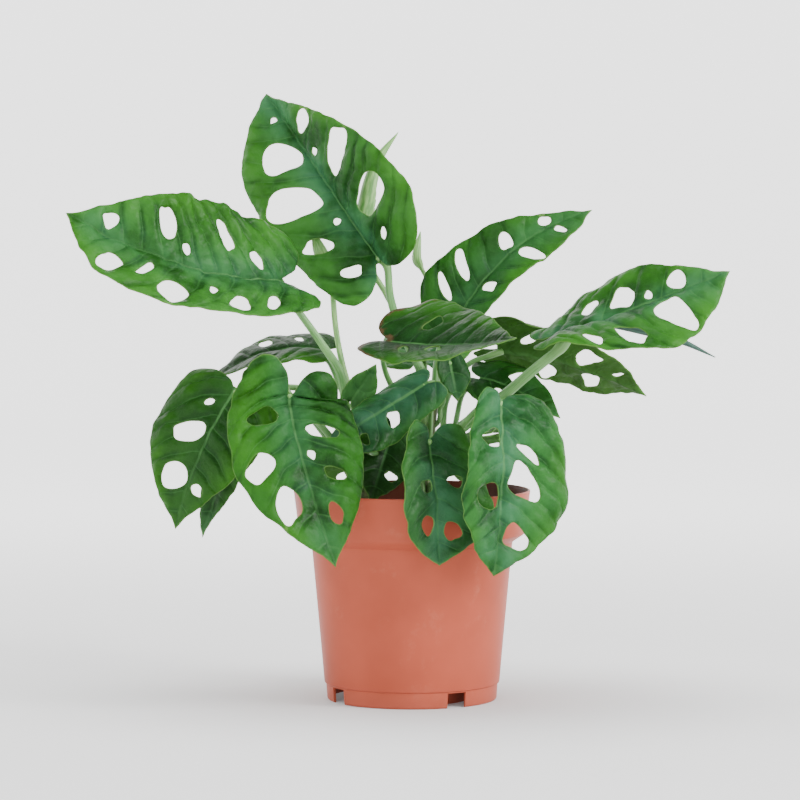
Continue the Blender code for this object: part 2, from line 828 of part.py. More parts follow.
def notch_cutter(angle, collection):
    """A block that cuts one notch through the foot ring."""
    mesh = bpy.data.meshes.new(f"notch_{angle}")
    build = bmesh.new()
    bmesh.ops.create_cube(build, size=1)
    bmesh.ops.scale(build, vec=at((NOTCH_WIDTH, NOTCH_REACH, 2 * FOOT_HEIGHT - 0.4)), verts=build.verts)
    build.to_mesh(mesh)
    build.free()
    made = cutter(f"notch_{angle}", mesh, collection)
    turn = math.radians(angle)
    made.location = at((math.sin(turn) * FOOT_RADIUS, -math.cos(turn) * FOOT_RADIUS, 0))
    made.rotation_euler = (0, 0, turn)
    return made


def cut(target, cutters, name):
    """Cuts the members of a collection from the target."""
    group = bpy.data.collections.new(name)
    cutters.children.link(group)
    group.hide_render = True
    modifier = target.modifiers.new(name, "BOOLEAN")
    modifier.operand_type = "COLLECTION"
    modifier.collection = group
    modifier.solver = "EXACT"
    return group


def make_pot(parts, cutters):
    surface = material("terracotta plastic", (0.52, 0.17, 0.10), 0.42)
    pot = turned("pot", pot_profile(), parts, surface)
    openings = cut(pot, cutters, "foot openings")
    for angle in NOTCH_ANGLES:
        notch_cutter(angle, openings)
    for number in range(DRAINS):
        turn = math.tau * number / DRAINS
        place = (DRAIN_CIRCLE * math.cos(turn), DRAIN_CIRCLE * math.sin(turn))
        low, high = FOOT_HEIGHT - 2, FOOT_HEIGHT + WALL + 2
        cylinder(f"drain_{number + 1}", DRAIN_RADIUS, low, high, 10, openings, place)


def soil_height(radius, turn):
    """The lumpy top of the soil, which is level at the pot's wall."""
    share = radius / BAND_FOOT_RADIUS
    lumps = math.sin(3 * turn + 9 * share) + math.sin(5 * turn - 14 * share + 2)
    return SOIL_TOP + SOIL_SWELL * (1 - share) + 0.7 * lumps * share * (1 - share) * 4


def make_soil(parts, cutters):
    """A plug that follows the pot's inside, a little clear of it, with a lumpy top."""
    wall = [(radius, height) for radius, height in inner_wall() if 0 < height < SOIL_TOP]
    reach = BAND_FOOT_RADIUS - WALL - CLEAR
    sides = [(0, WALL + CLEAR)]
    sides += [(radius - CLEAR, height + CLEAR) for radius, height in wall[1:]]
    sides += [(reach + 0.9, SOIL_TOP - 0.5)]
    mesh = bpy.data.meshes.new("soil")
    build = bmesh.new()
    rows = []
    for radius, height in sides:
        rows.append([(radius, height, number) for number in range(POT_SEGMENTS)] if radius else None)
    for ring in range(SOIL_RINGS, 0, -1):
        radius = (reach + 0.6) * ring / SOIL_RINGS
        heights = [soil_height(radius, math.tau * n / POT_SEGMENTS) for n in range(POT_SEGMENTS)]
        rows.append([(radius, height, number) for number, height in enumerate(heights)])
    loops = []
    for row in rows[1:]:
        loop = []
        for radius, height, number in row:
            turn = math.tau * number / POT_SEGMENTS
            loop.append(build.verts.new(at((radius * math.cos(turn), radius * math.sin(turn), height))))
        loops.append(loop)
    for low, high in zip(loops, loops[1:]):
        for i in range(POT_SEGMENTS):
            j = (i + 1) % POT_SEGMENTS
            build.faces.new((low[i], low[j], high[j], high[i]))
    bottom = build.verts.new(at((0, 0, sides[0][1])))
    top = build.verts.new(at((0, 0, soil_height(0, 0))))
    for i in range(POT_SEGMENTS):
        j = (i + 1) % POT_SEGMENTS
        build.faces.new((bottom, loops[0][j], loops[0][i]))
        build.faces.new((top, loops[-1][i], loops[-1][j]))
    bmesh.ops.recalc_face_normals(build, faces=build.faces)
    build.to_mesh(mesh)
    build.free()
    soil = add("soil", mesh, parts, material("peat", (0.03, 0.018, 0.011), 0.95))
    holes = cut(soil, cutters, "stem holes")
    for name, vine in VINES.items():
        low = SOIL_TOP - STEM_DEPTH - CLEAR
        place = vine.foot[:2]
        cylinder(f"hole_{name}", STEM_RADIUS + 2 * CLEAR, low, SOIL_TOP + 8, 12, holes, place)


def make_vines(parts):
    surface = material("vine", (0.16, 0.24, 0.07), 0.5)
    for name, vine in VINES.items():
        foot = Vector(vine.foot)
        points = [foot - Vector((0, 0, STEM_DEPTH)), foot, Vector(vine.top)]
        radii = [STEM_RADIUS, STEM_RADIUS, STEM_RADIUS - STEM_TAPER]
        made = tube(f"stem_{name}", points, radii, parts, surface)
        made.data.bevel_resolution = 3


def make_leaves(parts):
    for name, leaf in LEAVES.items():
        green = material(f"blade {name}", (0.06, 0.2, 0.04), 0.4)
        blade_object(f"leaf_{name}", leaf, parts, green)
        pale = material(f"stalk {name}", (0.24, 0.42, 0.13), 0.45)
        stalk_object(f"stalk_{name}", leaf, parts, pale)
    for name, bud in BUDS.items():
        bud_object(name, bud, parts, material(name, (0.3, 0.48, 0.16), 0.4))


def main():
    for old in list(bpy.data.objects):
        bpy.data.objects.remove(old, do_unlink=True)
    parts = bpy.data.collections.new("monstera adansonii")
    cutters = bpy.data.collections.new("cutters")
    for collection in (parts, cutters):
        bpy.context.scene.collection.children.link(collection)
    make_pot(parts, cutters)
    make_soil(parts, cutters)
    make_vines(parts)
    make_leaves(parts)


main()
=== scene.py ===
"""A Swiss cheese vine in a terracotta-coloured plastic pot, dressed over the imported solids.

Lengths in the tables are in millimetres and become metres as the pieces are made. Each blade, stalk,
vine and rolled leaf is built again from the same values as its solid, with its veins, creases,
ribs and waved margin as real shapes.
"""

import math
import random
from typing import NamedTuple

import bmesh
import bpy
import numpy as np
from mathutils import Matrix, Vector, noise
from mathutils.geometry import delaunay_2d_cdt


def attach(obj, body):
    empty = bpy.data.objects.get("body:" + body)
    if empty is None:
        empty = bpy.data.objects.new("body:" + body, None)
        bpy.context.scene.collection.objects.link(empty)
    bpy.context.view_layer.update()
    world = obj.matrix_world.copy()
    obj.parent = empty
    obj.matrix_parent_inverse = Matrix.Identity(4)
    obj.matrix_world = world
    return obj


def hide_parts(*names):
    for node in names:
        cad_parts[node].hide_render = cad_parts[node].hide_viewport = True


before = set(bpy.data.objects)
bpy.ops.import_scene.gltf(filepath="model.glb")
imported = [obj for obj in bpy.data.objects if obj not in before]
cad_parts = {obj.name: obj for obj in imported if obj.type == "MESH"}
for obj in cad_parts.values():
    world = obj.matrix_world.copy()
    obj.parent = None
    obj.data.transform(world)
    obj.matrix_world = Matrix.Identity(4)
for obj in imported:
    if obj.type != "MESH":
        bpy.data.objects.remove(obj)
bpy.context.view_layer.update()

MM = 0.001

# The pot, in mm.
POT_HEIGHT = 107.0
RIM_RADIUS = 60.4
BAND_FOOT_RADIUS = 57.8
BAND_FOOT_HEIGHT = 85.0
SHOULDER_RADIUS = 51.4
SHOULDER_HEIGHT = 81.0
BODY_FOOT_RADIUS = 44.7
FOOT_TOP_RADIUS = 44.2
FOOT_RADIUS = 43.4
FOOT_HEIGHT = 8.0
WALL = 1.5
PAD_RADIUS = 29.0
NOTCH_WIDTH = 10.5
NOTCH_ANGLES = (31, 121, 211, 301)
DRAIN_RADIUS = 3.5
DRAIN_CIRCLE = 36.5
DRAINS = 6
POT_SEGMENTS = 144
WELD = 0.001

# The soil and the vines, in mm.
SOIL_TOP = 95.0
SOIL_SWELL = 2.0
SOIL_RINGS = 60
STEM_DEPTH = 26.0
STEM_RADIUS = 3.0
STEM_TAPER = 0.6
STALK_RISE = 7.0
STALK_RUN_IN = 6.0
CLEAR = 0.3

# Blades, in mm.
SOLID_BLADE = 0.7  # the thickness of the solids
BLADE = 0.5
VEIN_LEAN = 0.42
VEIN_SWEEP = 0.0045
VEIN_PITCH = 12.0
STRAY = 3.0  # how far a side vein strays from its plain curve
VEIN_TURN = 9.0  # how far a side vein bends along the margin
WAVE_PITCH = 34.0
GRID = 1.5
EDGE_STEP = 1.3
QUILT = 1.9  # how far a blade swells between two side veins
RIB = 1.5  # how far the midrib stands out below

LUMPS = ((0.045, 1.6), (0.10, 1.4), (0.22, 0.8), (0.42, 0.28))  # 1/mm and mm
DENTS = ((0.11, 1.0), (0.31, 0.5))
DENT_DEPTH = 1.1
CURVE_STEPS = 12

HALF_OUTLINE = (
    (-0.02, 0.045), (-0.55, 0.14), (-0.97, 0.36), (-0.80, 0.66), (0.02, 0.88), (0.20, 1.00), (0.40, 0.98),
    (0.60, 0.80), (0.78, 0.50), (0.90, 0.22), (0.965, 0.06), (1.0, 0.0),
)
PLAIN_BELLY = 0.28
WIDEST = 5

LEFT = -1
RIGHT = 1


class Stalk(NamedTuple):
    """A leaf's stalk, from its vine to its blade."""

    vine: str
    height: float
    heading: float
    via: tuple
    base: float = 2.0
    neck: float = 1.3
    slant: float = 60.0


class Leaf(NamedTuple):
    """A blade. Its left and right are seen on the upper face, tip upwards. Each window has its place
    along the midrib, its two ends across it, which are negative on the left, and its width."""

    joint: tuple
    tip: tuple
    side: tuple
    stalk: Stalk
    halves: tuple = (24, 24)
    bow: tuple = (0, 0, 0)
    lobes: tuple = (13, 13)
    bellies: tuple = (0.3, 0.3)
    shoulders: tuple = (1, 1)
    fold: float = 14.0
    curl: float = 26.0
    twist: float = 0.0
    wave: float = 1.2
    windows: tuple = ()


class Vine(NamedTuple):
    foot: tuple
    top: tuple


class Bud(NamedTuple):
    """A new leaf, still rolled up on its stalk."""

    stalk: Stalk
    roll: tuple
    thickness: float = 3.2


VINES = {
    "middle": Vine((5, 4, SOIL_TOP), (11, 3, 150)),
    "left": Vine((-23, -6, SOIL_TOP), (-29, -4, 148)),
    "front": Vine((6, -16, SOIL_TOP), (5, -15, 126)),
    "back": Vine((3, 27, SOIL_TOP), (2, 30, 125)),
}

LEAVES = {
    "upper_left": Leaf(
        (-65, -16, 213.7), (-170.3, -60, 248.3), (-0.09, 0.74, 0.66),
        Stalk("left", 136, 200, ((-35.6, -5, 165), (-46.7, -8, 183), (-58, -11, 199)), 2.4, 1.6),
        halves=(36, 38), bow=(3, -14, -8), lobes=(11, 16), bellies=(0.56, 0.41), fold=21, curl=4, twist=-23,
        windows=((9, 6, 16, 7), (25, 13, 29, 8), (56, 6, 12, 4), (66, 11, 26, 10), (101, 4, 12, 8),
        (8, -16, -25, 6), (24, -18, -30, 9), (40, -13, -20, 4), (55, -18, -32, 14), (74, -8, -20, 4),
        (88, -13, -24, 11)),
    ),
    "crown": Leaf(
        (-16.7, -5, 223.1), (-75.2, 45, 309.3), (0.67, -0.35, 0.66), Stalk("middle", 139, 210,
        ((5, -0.5, 158), (4.6, 0, 168), (-5.6, 0, 188), (-11, -1, 205)), 2.6, 1.8), halves=(41, 44),
        bow=(-1, -5, 2), lobes=(13, 10), bellies=(0.52, 0.19), fold=38, curl=46, windows=((97, -3, -7, 4),
        (78, 6, 18, 9), (71, -3, -22, 18), (64, 5, 9, 4), (46, 9, 31, 11), (41, -7, -35, 18),
        (27, -5, -9, 4), (15, 12, 33, 14), (0, 13, 19, 4), (13, -15, -30, 8), (-4, -10, -20, 6)),
    ),
    "upper_right": Leaf(
        (23.7, 15, 192.9), (92.5, 20, 249.3), (0.55, -0.55, -0.62), Stalk("middle", 131, 105,
        ((11.5, 9.5, 148), (12, 11, 159), (13, 14, 171), (16.5, 18, 183)), 2.4, 1.7), halves=(27, 20),
        bow=(-6, -2, 7.5), lobes=(14, 16), bellies=(0.1, 0.6), fold=20, curl=2, windows=((66, -2, -7, 7),
        (43, -2, -11, 7), (16, -6, -22, 5), (3, -8, -22, 4), (70, 2, 10, 4), (47, 3, 19, 7),
        (20, 3, 11, 6)),
    ),
    "right": Leaf(
        (74.2, -25, 185.8), (159, -30, 219.1), (0, -0.99, -0.15), Stalk("front", 111, 10,
        ((14, -12, 130), (28, -12, 142), (44, -15, 154), (60, -20, 168)), 3.1, 2.4), halves=(33, 38),
        lobes=(15, 14), bellies=(0.16, 0.44), fold=20, curl=33, twist=62, windows=((12, -9, -19, 8),
        (32, -3, -16, 13), (47, -2, -7, 4), (62, -2, -11, 10), (2, 21, 31, 7), (20, 18, 34, 10),
        (51, 4, 27, 14)),
    ),
    "centre": Leaf(
        (-12.6, -45, 184.7), (50.4, -95, 188.2), (-0.54, -0.71, -0.45), Stalk("middle", 118, 218,
        ((-3, 0, 144), (-9, -1, 157), (-13.5, -7, 167.5), (-15, -20, 176)), 1.7, 1.2), halves=(33, 28),
        bow=(1.4, 1.6, -2.8), lobes=(11, 8), bellies=(0.18, 0.4), fold=18, curl=14,
        windows=((12, -10, -20, 8), (30, 3, 13, 8), (12, 6, 15, 5)),
    ),
    "lower_right": Leaf(
        (44.4, 34, 177.6), (122.6, 46, 151.9), (0.31, -0.84, 0.44),
        Stalk("middle", 115, 75, ((15.5, 17, 135), (18, 28, 151), (28, 34, 168)), 1.8, 1.4),
        halves=(26, 31), bow=(2.7, -7.7, 3.6), lobes=(14, 12), bellies=(0.6, 0.14), fold=16, curl=25,
        windows=((9, 7, 18, 5), (26, 3, 9, 4), (41, 2, 15, 10), (62, 2, 7, 4), (50, -5, -18, 11),
        (20, -9, -22, 12)),
    ),
    "right_low": Leaf(
        (35, 20, 163), (76, 8, 143), (-0.46, -0.72, -0.5),
        Stalk("middle", 104, 20, ((20, 14, 128), (23, 19, 142), (26, 23, 154)), 1.7, 1.3), halves=(18, 20),
        bow=(0, 0, 3), lobes=(7, 9), windows=((14, -4, -13, 5), (10, 5, 15, 6), (26, 3, 12, 5)),
    ),
    "front_right": Leaf(
        (43.6, -62, 156.8), (39.5, -75, 70.6), (-0.83, -0.55, 0.12),
        Stalk("front", 100, 330, ((18, -28, 130), (30, -42, 148)), 2.0, 1.5, 30), halves=(39, 23),
        bow=(2.4, -7, 1), lobes=(5, 4), bellies=(0.5, 0.54), shoulders=(0.85, 0.5), fold=10, curl=17,
        windows=((18, 2, 11, 9), (46, 2, 14, 13), (19, -8, -22, 5), (36, -3, -22, 16), (65, -3, -17, 12)),
    ),
    "front_centre": Leaf(
        (8.7, -54, 137.5), (13.6, -68, 74.8), (-0.82, -0.56, 0.06),
        Stalk("front", 107, 265, ((5, -30, 130), (6, -41, 138)), 1.7, 1.3, 35), halves=(30, 25),
        bow=(0.3, -6.2, 1.4), lobes=(8, 6), bellies=(0.55, 0.55), shoulders=(0.85, 0.45), fold=22, curl=14,
        windows=((24, 3, 11, 6), (42, 3, 12, 9), (46, -3, -12, 9), (19, -7, -14, 6)),
    ),
    "front_left": Leaf(
        (-60.2, -64, 159.4), (-37.4, -78, 75.4), (-0.93, -0.31, -0.2),
        Stalk("left", 111, 240, ((-33, -18, 138), (-42, -34, 153), (-50, -47, 160)), 2.0, 1.5, 35),
        halves=(33, 35), bow=(-6.8, 3.4, 15), lobes=(14, 18), bellies=(0.5, 0.48), fold=17, curl=38,
        windows=((14, 8, 22, 12), (37, 15, 29, 11), (59, 8, 20, 13), (31, -5, -21, 7), (46, -3, -7, 4),
        (52, -9, -19, 5), (69, -5, -12, 7)),
    ),
    "left_low": Leaf(
        (-89.2, -10, 159.4), (-119.7, -20, 88.6), (-0.86, 0.42, 0.31),
        Stalk("left", 104, 190, ((-38, -8, 130), (-56, -9, 150), (-73, -9, 161)), 1.8, 1.4, 45),
        halves=(30, 33), bow=(-2.8, -6.4, 2), lobes=(12, 5), bellies=(0.22, 0.32), fold=9, curl=27,
        windows=((25, 3, 19, 12), (50, 2, 16, 14), (54, -3, -10, 6), (8, 6, 11, 4)),
    ),
    "left_back": Leaf(
        (-46, 22, 177), (-108, 30, 157), (0.09, 0.93, 0.32),
        Stalk("left", 121, 120, ((-33, 8, 148), (-39, 14, 164)), 1.6, 1.3), halves=(22, 22), bow=(0, 0, 8),
        lobes=(8, 8), windows=((28, -6, -15, 6), (28, 6, 15, 6), (10, 7, 14, 4)),
    ),
    "left_hanging": Leaf(
        (-75, 6, 155), (-108, 13, 81), (-0.8, 0.4, 0.4),
        Stalk("left", 99, 142, ((-38, 2, 125), (-54, 5, 146), (-65, 8, 156)), 1.5, 1.2, 45),
        halves=(12, 16), bow=(-2, -4, 2), lobes=(6, 6), windows=((22, 4, 10, 5), (30, -4, -9, 5)),
    ),
    "middle": Leaf(
        (8, -20, 163), (-43.3, -52, 133), (-0.66, 0.41, 0.63),
        Stalk("middle", 129, 265, ((9.5, -8, 148), (10.5, -13, 156)), 1.6, 1.3), halves=(18, 12),
        bow=(-3, 4, -2), lobes=(6, 4), bellies=(0.55, 0.3), fold=2, curl=30, windows=((22, -3, -11, 7),
        (42, -5, -11, 5)),
    ),
    "small": Leaf(
        (-31, -14, 153), (-18, -21, 172), (0.75, 0.2, -0.4),
        Stalk("left", 138, 290, ((-28, -11, 147),), 1.2, 0.9), halves=(8, 9), lobes=(3, 3), fold=24,
        wave=0.6,
    ),
    "small_dark": Leaf(
        (19, -9, 174), (23, -18, 153), (-0.9, -0.4, 0),
        Stalk("middle", 142, 330, ((16, 0, 152), (17, -3, 163)), 1.2, 0.9, 20), halves=(10, 9),
        lobes=(4, 4),
    ),
    "inner": Leaf(
        (-10, -18, 138), (-21, -46, 104), (-0.93, -0.1, 0.3),
        Stalk("front", 104, 150, ((-3, -12.5, 125),), 1.5, 1.2, 40), halves=(16, 16), lobes=(7, 7),
        windows=((24, -3, -9, 5), (14, 4, 9, 4)),
    ),
    "back_left": Leaf(
        (-20, 48, 126), (-36, 118, 78), (0.96, 0.33, -0.07),
        Stalk("back", 101, 130, ((-8, 38, 120),), 1.7, 1.3, 70), halves=(25, 22), bow=(0, 8, 12),
        windows=((16, 6, 16, 6), (38, 5, 15, 8), (14, -7, -18, 7), (36, -6, -17, 8), (58, -4, -10, 6)),
    ),
    "back_right": Leaf(
        (27, 56, 131), (40, 120, 84), (0.98, -0.1, 0.1),
        Stalk("back", 105, 60, ((9, 36.5, 117), (16, 46, 127)), 1.7, 1.3, 70), halves=(22, 24),
        bow=(0, 8, 12), windows=((16, 6, 17, 7), (38, 5, 15, 8), (14, -6, -15, 6), (36, -5, -14, 8)),
    ),
    "back_high": Leaf(
        (6, 53, 170), (18, 140, 178), (0.98, -0.12, 0.05),
        Stalk("back", 117, 120, ((1, 40, 142), (4, 45, 160)), 1.9, 1.5), halves=(27, 28), bow=(0, 0, 8),
        windows=((14, 8, 20, 7), (38, 6, 20, 9), (64, 4, 12, 7), (16, -8, -19, 7), (40, -6, -19, 10)),
    ),
}

BUDS = {
    "bud_crown": Bud(
        Stalk("middle", 141, 150, ((5.5, 7, 158), (3, 7, 170), (-4, 8, 188), (-13, 9, 206)), 1.7, 1.4),
        ((-26, 15, 230), (-23, 18, 254), (-17.5, 20, 274), (-7.1, 22, 289)), 4.6,
    ),
    "bud_left": Bud(
        Stalk("left", 129, 60, ((-30, 2, 152), (-35.5, 2, 171), (-39, 5, 190), (-40.8, 8, 210)), 1.7, 1.4),
        ((-43, 10, 220), (-47, 11, 229), (-51, 12, 239)), 3.4,
    ),
    "bud_right": Bud(
        Stalk("middle", 122, 0, ((24, -2, 138), (44, -6, 152.5), (61, -7, 168), (79, -5, 183.5)), 1.5, 1.1),
        ((96, 0, 191.6), (124, -5, 187), (138, -5, 182.5), (154, -5, 174.7)), 2.6,
    ),
    "bud_back": Bud(
        Stalk("back", 108, 330, ((9, 25, 132), (13, 24, 152), (18, 28, 172), (18, 35, 190), (12, 40, 206)),
        1.4, 1.1), ((5, 41, 219), (2.5, 40, 226), (4.5, 42, 238)), 2.4,
    ),
}


class Look(NamedTuple):
    """A blade's greens, how strongly a bluish sheen is painted on it, how deeply it swells, how dry its
    margin is.
    """

    deep: tuple
    light: tuple
    sheen: float
    quilt: float = 1.0
    dry: float = 0.0


LOOKS = {
    "upper_left": Look((0.006, 0.048, 0.004), (0.032, 0.154, 0.018), 0.35, 1.15),
    "crown": Look((0.005, 0.040, 0.004), (0.030, 0.141, 0.018), 0.55, 1.15),
    "upper_right": Look((0.005, 0.040, 0.004), (0.019, 0.106, 0.011), 0.20),
    "right": Look((0.005, 0.044, 0.004), (0.030, 0.145, 0.016), 0.45),
    "centre": Look((0.002, 0.018, 0.001), (0.007, 0.048, 0.004), 0.05, 0.35, 0.9),
    "lower_right": Look((0.009, 0.046, 0.004), (0.030, 0.106, 0.011), 0.05, 1.0),
    "right_low": Look((0.006, 0.042, 0.005), (0.019, 0.097, 0.012), 0.15),
    "front_right": Look((0.005, 0.046, 0.008), (0.025, 0.132, 0.025), 0.55, 1.25),
    "front_centre": Look((0.006, 0.039, 0.008), (0.018, 0.084, 0.018), 0.45, 1.2),
    "front_left": Look((0.004, 0.032, 0.003), (0.019, 0.110, 0.009), 0.28, 1.25),
    "left_low": Look((0.006, 0.039, 0.004), (0.018, 0.079, 0.007), 0.05),
    "left_back": Look((0.003, 0.019, 0.002), (0.009, 0.049, 0.004), 0.05, 0.6),
    "left_hanging": Look((0.011, 0.044, 0.009), (0.026, 0.092, 0.019), 0.20),
    "middle": Look((0.004, 0.026, 0.007), (0.011, 0.060, 0.016), 0.45),
    "small": Look((0.012, 0.057, 0.009), (0.039, 0.132, 0.025), 0.15),
    "small_dark": Look((0.004, 0.026, 0.004), (0.011, 0.056, 0.009), 0.15),
    # The inner leaf's greens are darkened: painted shade, as it hangs down inside the pot's rim.
    "inner": Look((0.005, 0.026, 0.004), (0.014, 0.055, 0.007), 0.10),
    "back_left": Look((0.007, 0.048, 0.005), (0.025, 0.123, 0.014), 0.25),
    "back_right": Look((0.007, 0.048, 0.005), (0.025, 0.123, 0.014), 0.25),
    "back_high": Look((0.009, 0.060, 0.006), (0.030, 0.141, 0.018), 0.35),
}


def smooth(points, steps):
    """A smooth curve through the points, with this many steps between two of them."""
    points = [np.array(point, float) for point in points]
    ends = [2 * points[0] - points[1], *points, 2 * points[-1] - points[-2]]
    curve = []
    for before, start, end, after in zip(ends, ends[1:], ends[2:], ends[3:]):
        for step in range(steps):
            t = step / steps
            bend = 2 * before - 5 * start + 4 * end - after
            turn = 3 * start - before - 3 * end + after
            curve.append(0.5 * (2 * start + (end - before) * t + bend * t**2 + turn * t**3))
    curve.append(points[-1])
    return np.array(curve)


def reach(points):
    """How far along a curve each of its points lies."""
    return np.concatenate([[0], np.cumsum(np.linalg.norm(np.diff(points, axis=0), axis=1))])


def spread(points, count):
    """This many points at even distances along a curve."""
    along = reach(points)
    places = np.linspace(0, along[-1], count)
    return np.stack([np.interp(places, along, column) for column in points.T], axis=1)


def unit(vectors):
    return vectors / np.linalg.norm(vectors, axis=-1, keepdims=True)


def ease(low, high, value):
    """0 below low, 1 above high and smooth in between."""
    share = np.clip((value - low) / (high - low), 0, 1)
    return share * share * (3 - 2 * share)


def field(x, y, z):
    """Smooth noise from -1 to 1 at each of these places."""
    x, y, z = np.broadcast_arrays(x, y, z)
    return np.array([noise.noise(place) for place in zip(x.tolist(), y.tolist(), z.tolist())])


def pick(pair, half):
    return pair[0] if half == LEFT else pair[1]


def inside(points, loop):
    """Which flat points lie inside a closed loop."""
    odd = np.zeros(len(points), bool)
    for (ax, ay), (bx, by) in zip(loop, np.roll(loop, -1, axis=0)):
        if ay == by:
            continue
        crosses = (ay > points[:, 1]) != (by > points[:, 1])
        odd ^= crosses & (points[:, 0] < ax + (points[:, 1] - ay) * (bx - ax) / (by - ay))
    return odd


def distance_to(points, loops):
    """How far each flat point lies from the nearest of these loops."""
    nearest = np.full(len(points), np.inf)
    for loop in loops:
        for a, b in zip(loop, np.roll(loop, -1, axis=0)):
            along = b - a
            share = np.clip((points - a) @ along / max(along @ along, 1e-12), 0, 1)
            nearest = np.minimum(nearest, np.linalg.norm(points - a - share[:, None] * along, axis=1))
    return nearest


class Blade:
    """The surface of one blade, in mm: u runs along the midrib and v out to the right."""

    def __init__(self, name, leaf):
        self.name = name
        self.leaf = leaf
        self.seed = sum(map(ord, name))
        self.start, self.end = np.array(leaf.joint, float), np.array(leaf.tip, float)
        self.pull = (self.start + self.end) / 2 + 2 * np.array(leaf.bow, float)
        self.length = reach(self.midrib(np.linspace(0, 1, 33))[0])[-1]
        self.roots = {half: self.vein_roots(half) for half in (LEFT, RIGHT)}
        self.margins = {half: self.edge(half) for half in (LEFT, RIGHT)}
        self.openings = self.cut_windows()

    def midrib(self, t):
        t = np.atleast_1d(t)[:, None]
        point = (1 - t) ** 2 * self.start + 2 * t * (1 - t) * self.pull + t**2 * self.end
        return point, unit((1 - t) * (self.pull - self.start) + t * (self.end - self.pull))

    def axes(self, u):
        """The midrib at u, with the directions along it, out to the right and up from the face."""
        u = np.atleast_1d(np.array(u, float))
        t = np.clip(u / self.length, 0, 1)
        point, along = self.midrib(t)
        side = np.broadcast_to(np.array(self.leaf.side, float), along.shape)
        turn = np.radians(self.leaf.twist * t)[:, None]
        held = along * np.sum(along * side, axis=1, keepdims=True)
        side = side * np.cos(turn) + np.cross(along, side) * np.sin(turn) + held * (1 - np.cos(turn))
        side = unit(side - along * np.sum(side * along, axis=1, keepdims=True))
        return point + along * (u - t * self.length)[:, None], along, side, np.cross(side, along)

    def edge(self, half):
        """The outline of one half in u and v, from the joint to the tip."""
        leaf = self.leaf
        power = math.log(pick(leaf.bellies, half)) / math.log(PLAIN_BELLY)
        shoulder = pick(leaf.shoulders, half)
        points = []
        for number, (along, out) in enumerate(HALF_OUTLINE):
            u = along * pick(leaf.lobes, half) if along < 0 else along**power * self.length
            narrowed = shoulder + (1 - shoulder) * min(number / WIDEST, 1)
            points.append((u, half * out * narrowed * pick(leaf.halves, half)))
        curve = smooth(points, CURVE_STEPS)
        for _ in range(20):
            curve[1:-1] = (curve[:-2] + 2 * curve[1:-1] + curve[2:]) / 4
        walked = reach(curve)
        dents = sum(size * field(walked * pitch, half, self.seed) for pitch, size in DENTS)
        calm = ease(0, 8, walked) * ease(walked[-1], walked[-1] - 8, walked)
        curve[:, 1] -= half * DENT_DEPTH * calm * np.clip(0.45 + dents, 0, 1.5)
        return curve

    def window(self, number, uneven):
        """The outline of one window in u and v. It lies along the side veins and is lopsided."""
        along, inner, outer, width = self.leaf.windows[number]
        half = RIGHT if outer > 0 else LEFT
        inner, outer = abs(inner), abs(outer)
        draw = random.Random(self.seed + 31 * number)
        round_it = math.pi * (outer - inner + width) / 2
        count = max(16, int(round_it / 1.0))
        egg = 0.22 * math.sin(1.7 * along)
        angle = np.arange(count) * math.tau / count
        blunt = 1 - uneven * draw.uniform(0.05, 0.32)
        lean = uneven * draw.uniform(-0.16, 0.16)
        swell = 1 - 0.03 * uneven
        for turns, size in ((2, 0.05), (3, 0.09), (4, 0.04), (5, 0.03)):
            share = draw.uniform(0.4, 1)
            swell = swell + uneven * size * share * np.sin(turns * angle + draw.uniform(0, math.tau))
        far = np.sign(np.cos(angle)) * np.abs(np.cos(angle)) ** blunt * swell
        near = np.sign(np.sin(angle)) * np.abs(np.sin(angle)) ** blunt * swell
        out = (inner + outer - (outer - inner) * far) / 2
        slope = VEIN_LEAN + 2 * VEIN_SWEEP * out
        aside = width / 2 * (near * (1 - egg * far) + lean * far) / np.hypot(1, slope)
        u = along + VEIN_LEAN * out + VEIN_SWEEP * out**2 + aside
        return np.stack([u, half * (out - slope * aside)], 1)

    def cut_windows(self):
        """The windows' outlines, each as uneven as its neighbours and the margin leave room for."""
        margin = np.concatenate([self.margins[RIGHT], self.margins[LEFT][::-1]])
        made = []
        for number in range(len(self.leaf.windows)):
            for uneven in (1, 0.6, 0.3, 0):
                window = self.window(number, uneven)
                clear = distance_to(window, [margin, *made]).min()
                if inside(window, margin).all() and clear > 1.5 and np.abs(window[:, 1]).min() > 1.2:
                    break
            made.append(window)
        return made

    def drift(self, out, half):
        """How far towards the tip a side vein has come at this distance from the midrib."""
        near_margin = np.minimum(out / pick(self.leaf.halves, half), 1.1)
        return VEIN_LEAN * out + VEIN_SWEEP * out**2 + VEIN_TURN * near_margin**4

    def vein_roots(self, half):
        """Where the side veins of one half leave the midrib. They pass between its windows."""
        places = sorted(along for along, _, outer, _ in self.leaf.windows if outer * half > 0)
        kept = [place for number, place in enumerate(places) if not number or place - places[number - 1] > 5]
        roots = [(a + b) / 2 for a, b in zip(kept, kept[1:])] or [self.length * 0.3]
        while roots[0] > -self.length * 0.25:
            roots.insert(0, roots[0] - VEIN_PITCH)
        while roots[-1] < self.length * 0.93:
            roots.append(roots[-1] + VEIN_PITCH * 0.9)
        full = []
        for a, b in zip(roots, roots[1:]):
            parts = max(1, round((b - a) / VEIN_PITCH))
            full += [a + (b - a) * part / parts for part in range(parts)]
        return np.array([*full, roots[-1]])

    def width_at(self, u, half):
        """How wide one half is at u, ahead of the joint."""
        margin = self.margins[half]
        ahead = margin[margin[:, 0].argmin() :]
        return np.interp(u, ahead[:, 0], np.abs(ahead[:, 1]))

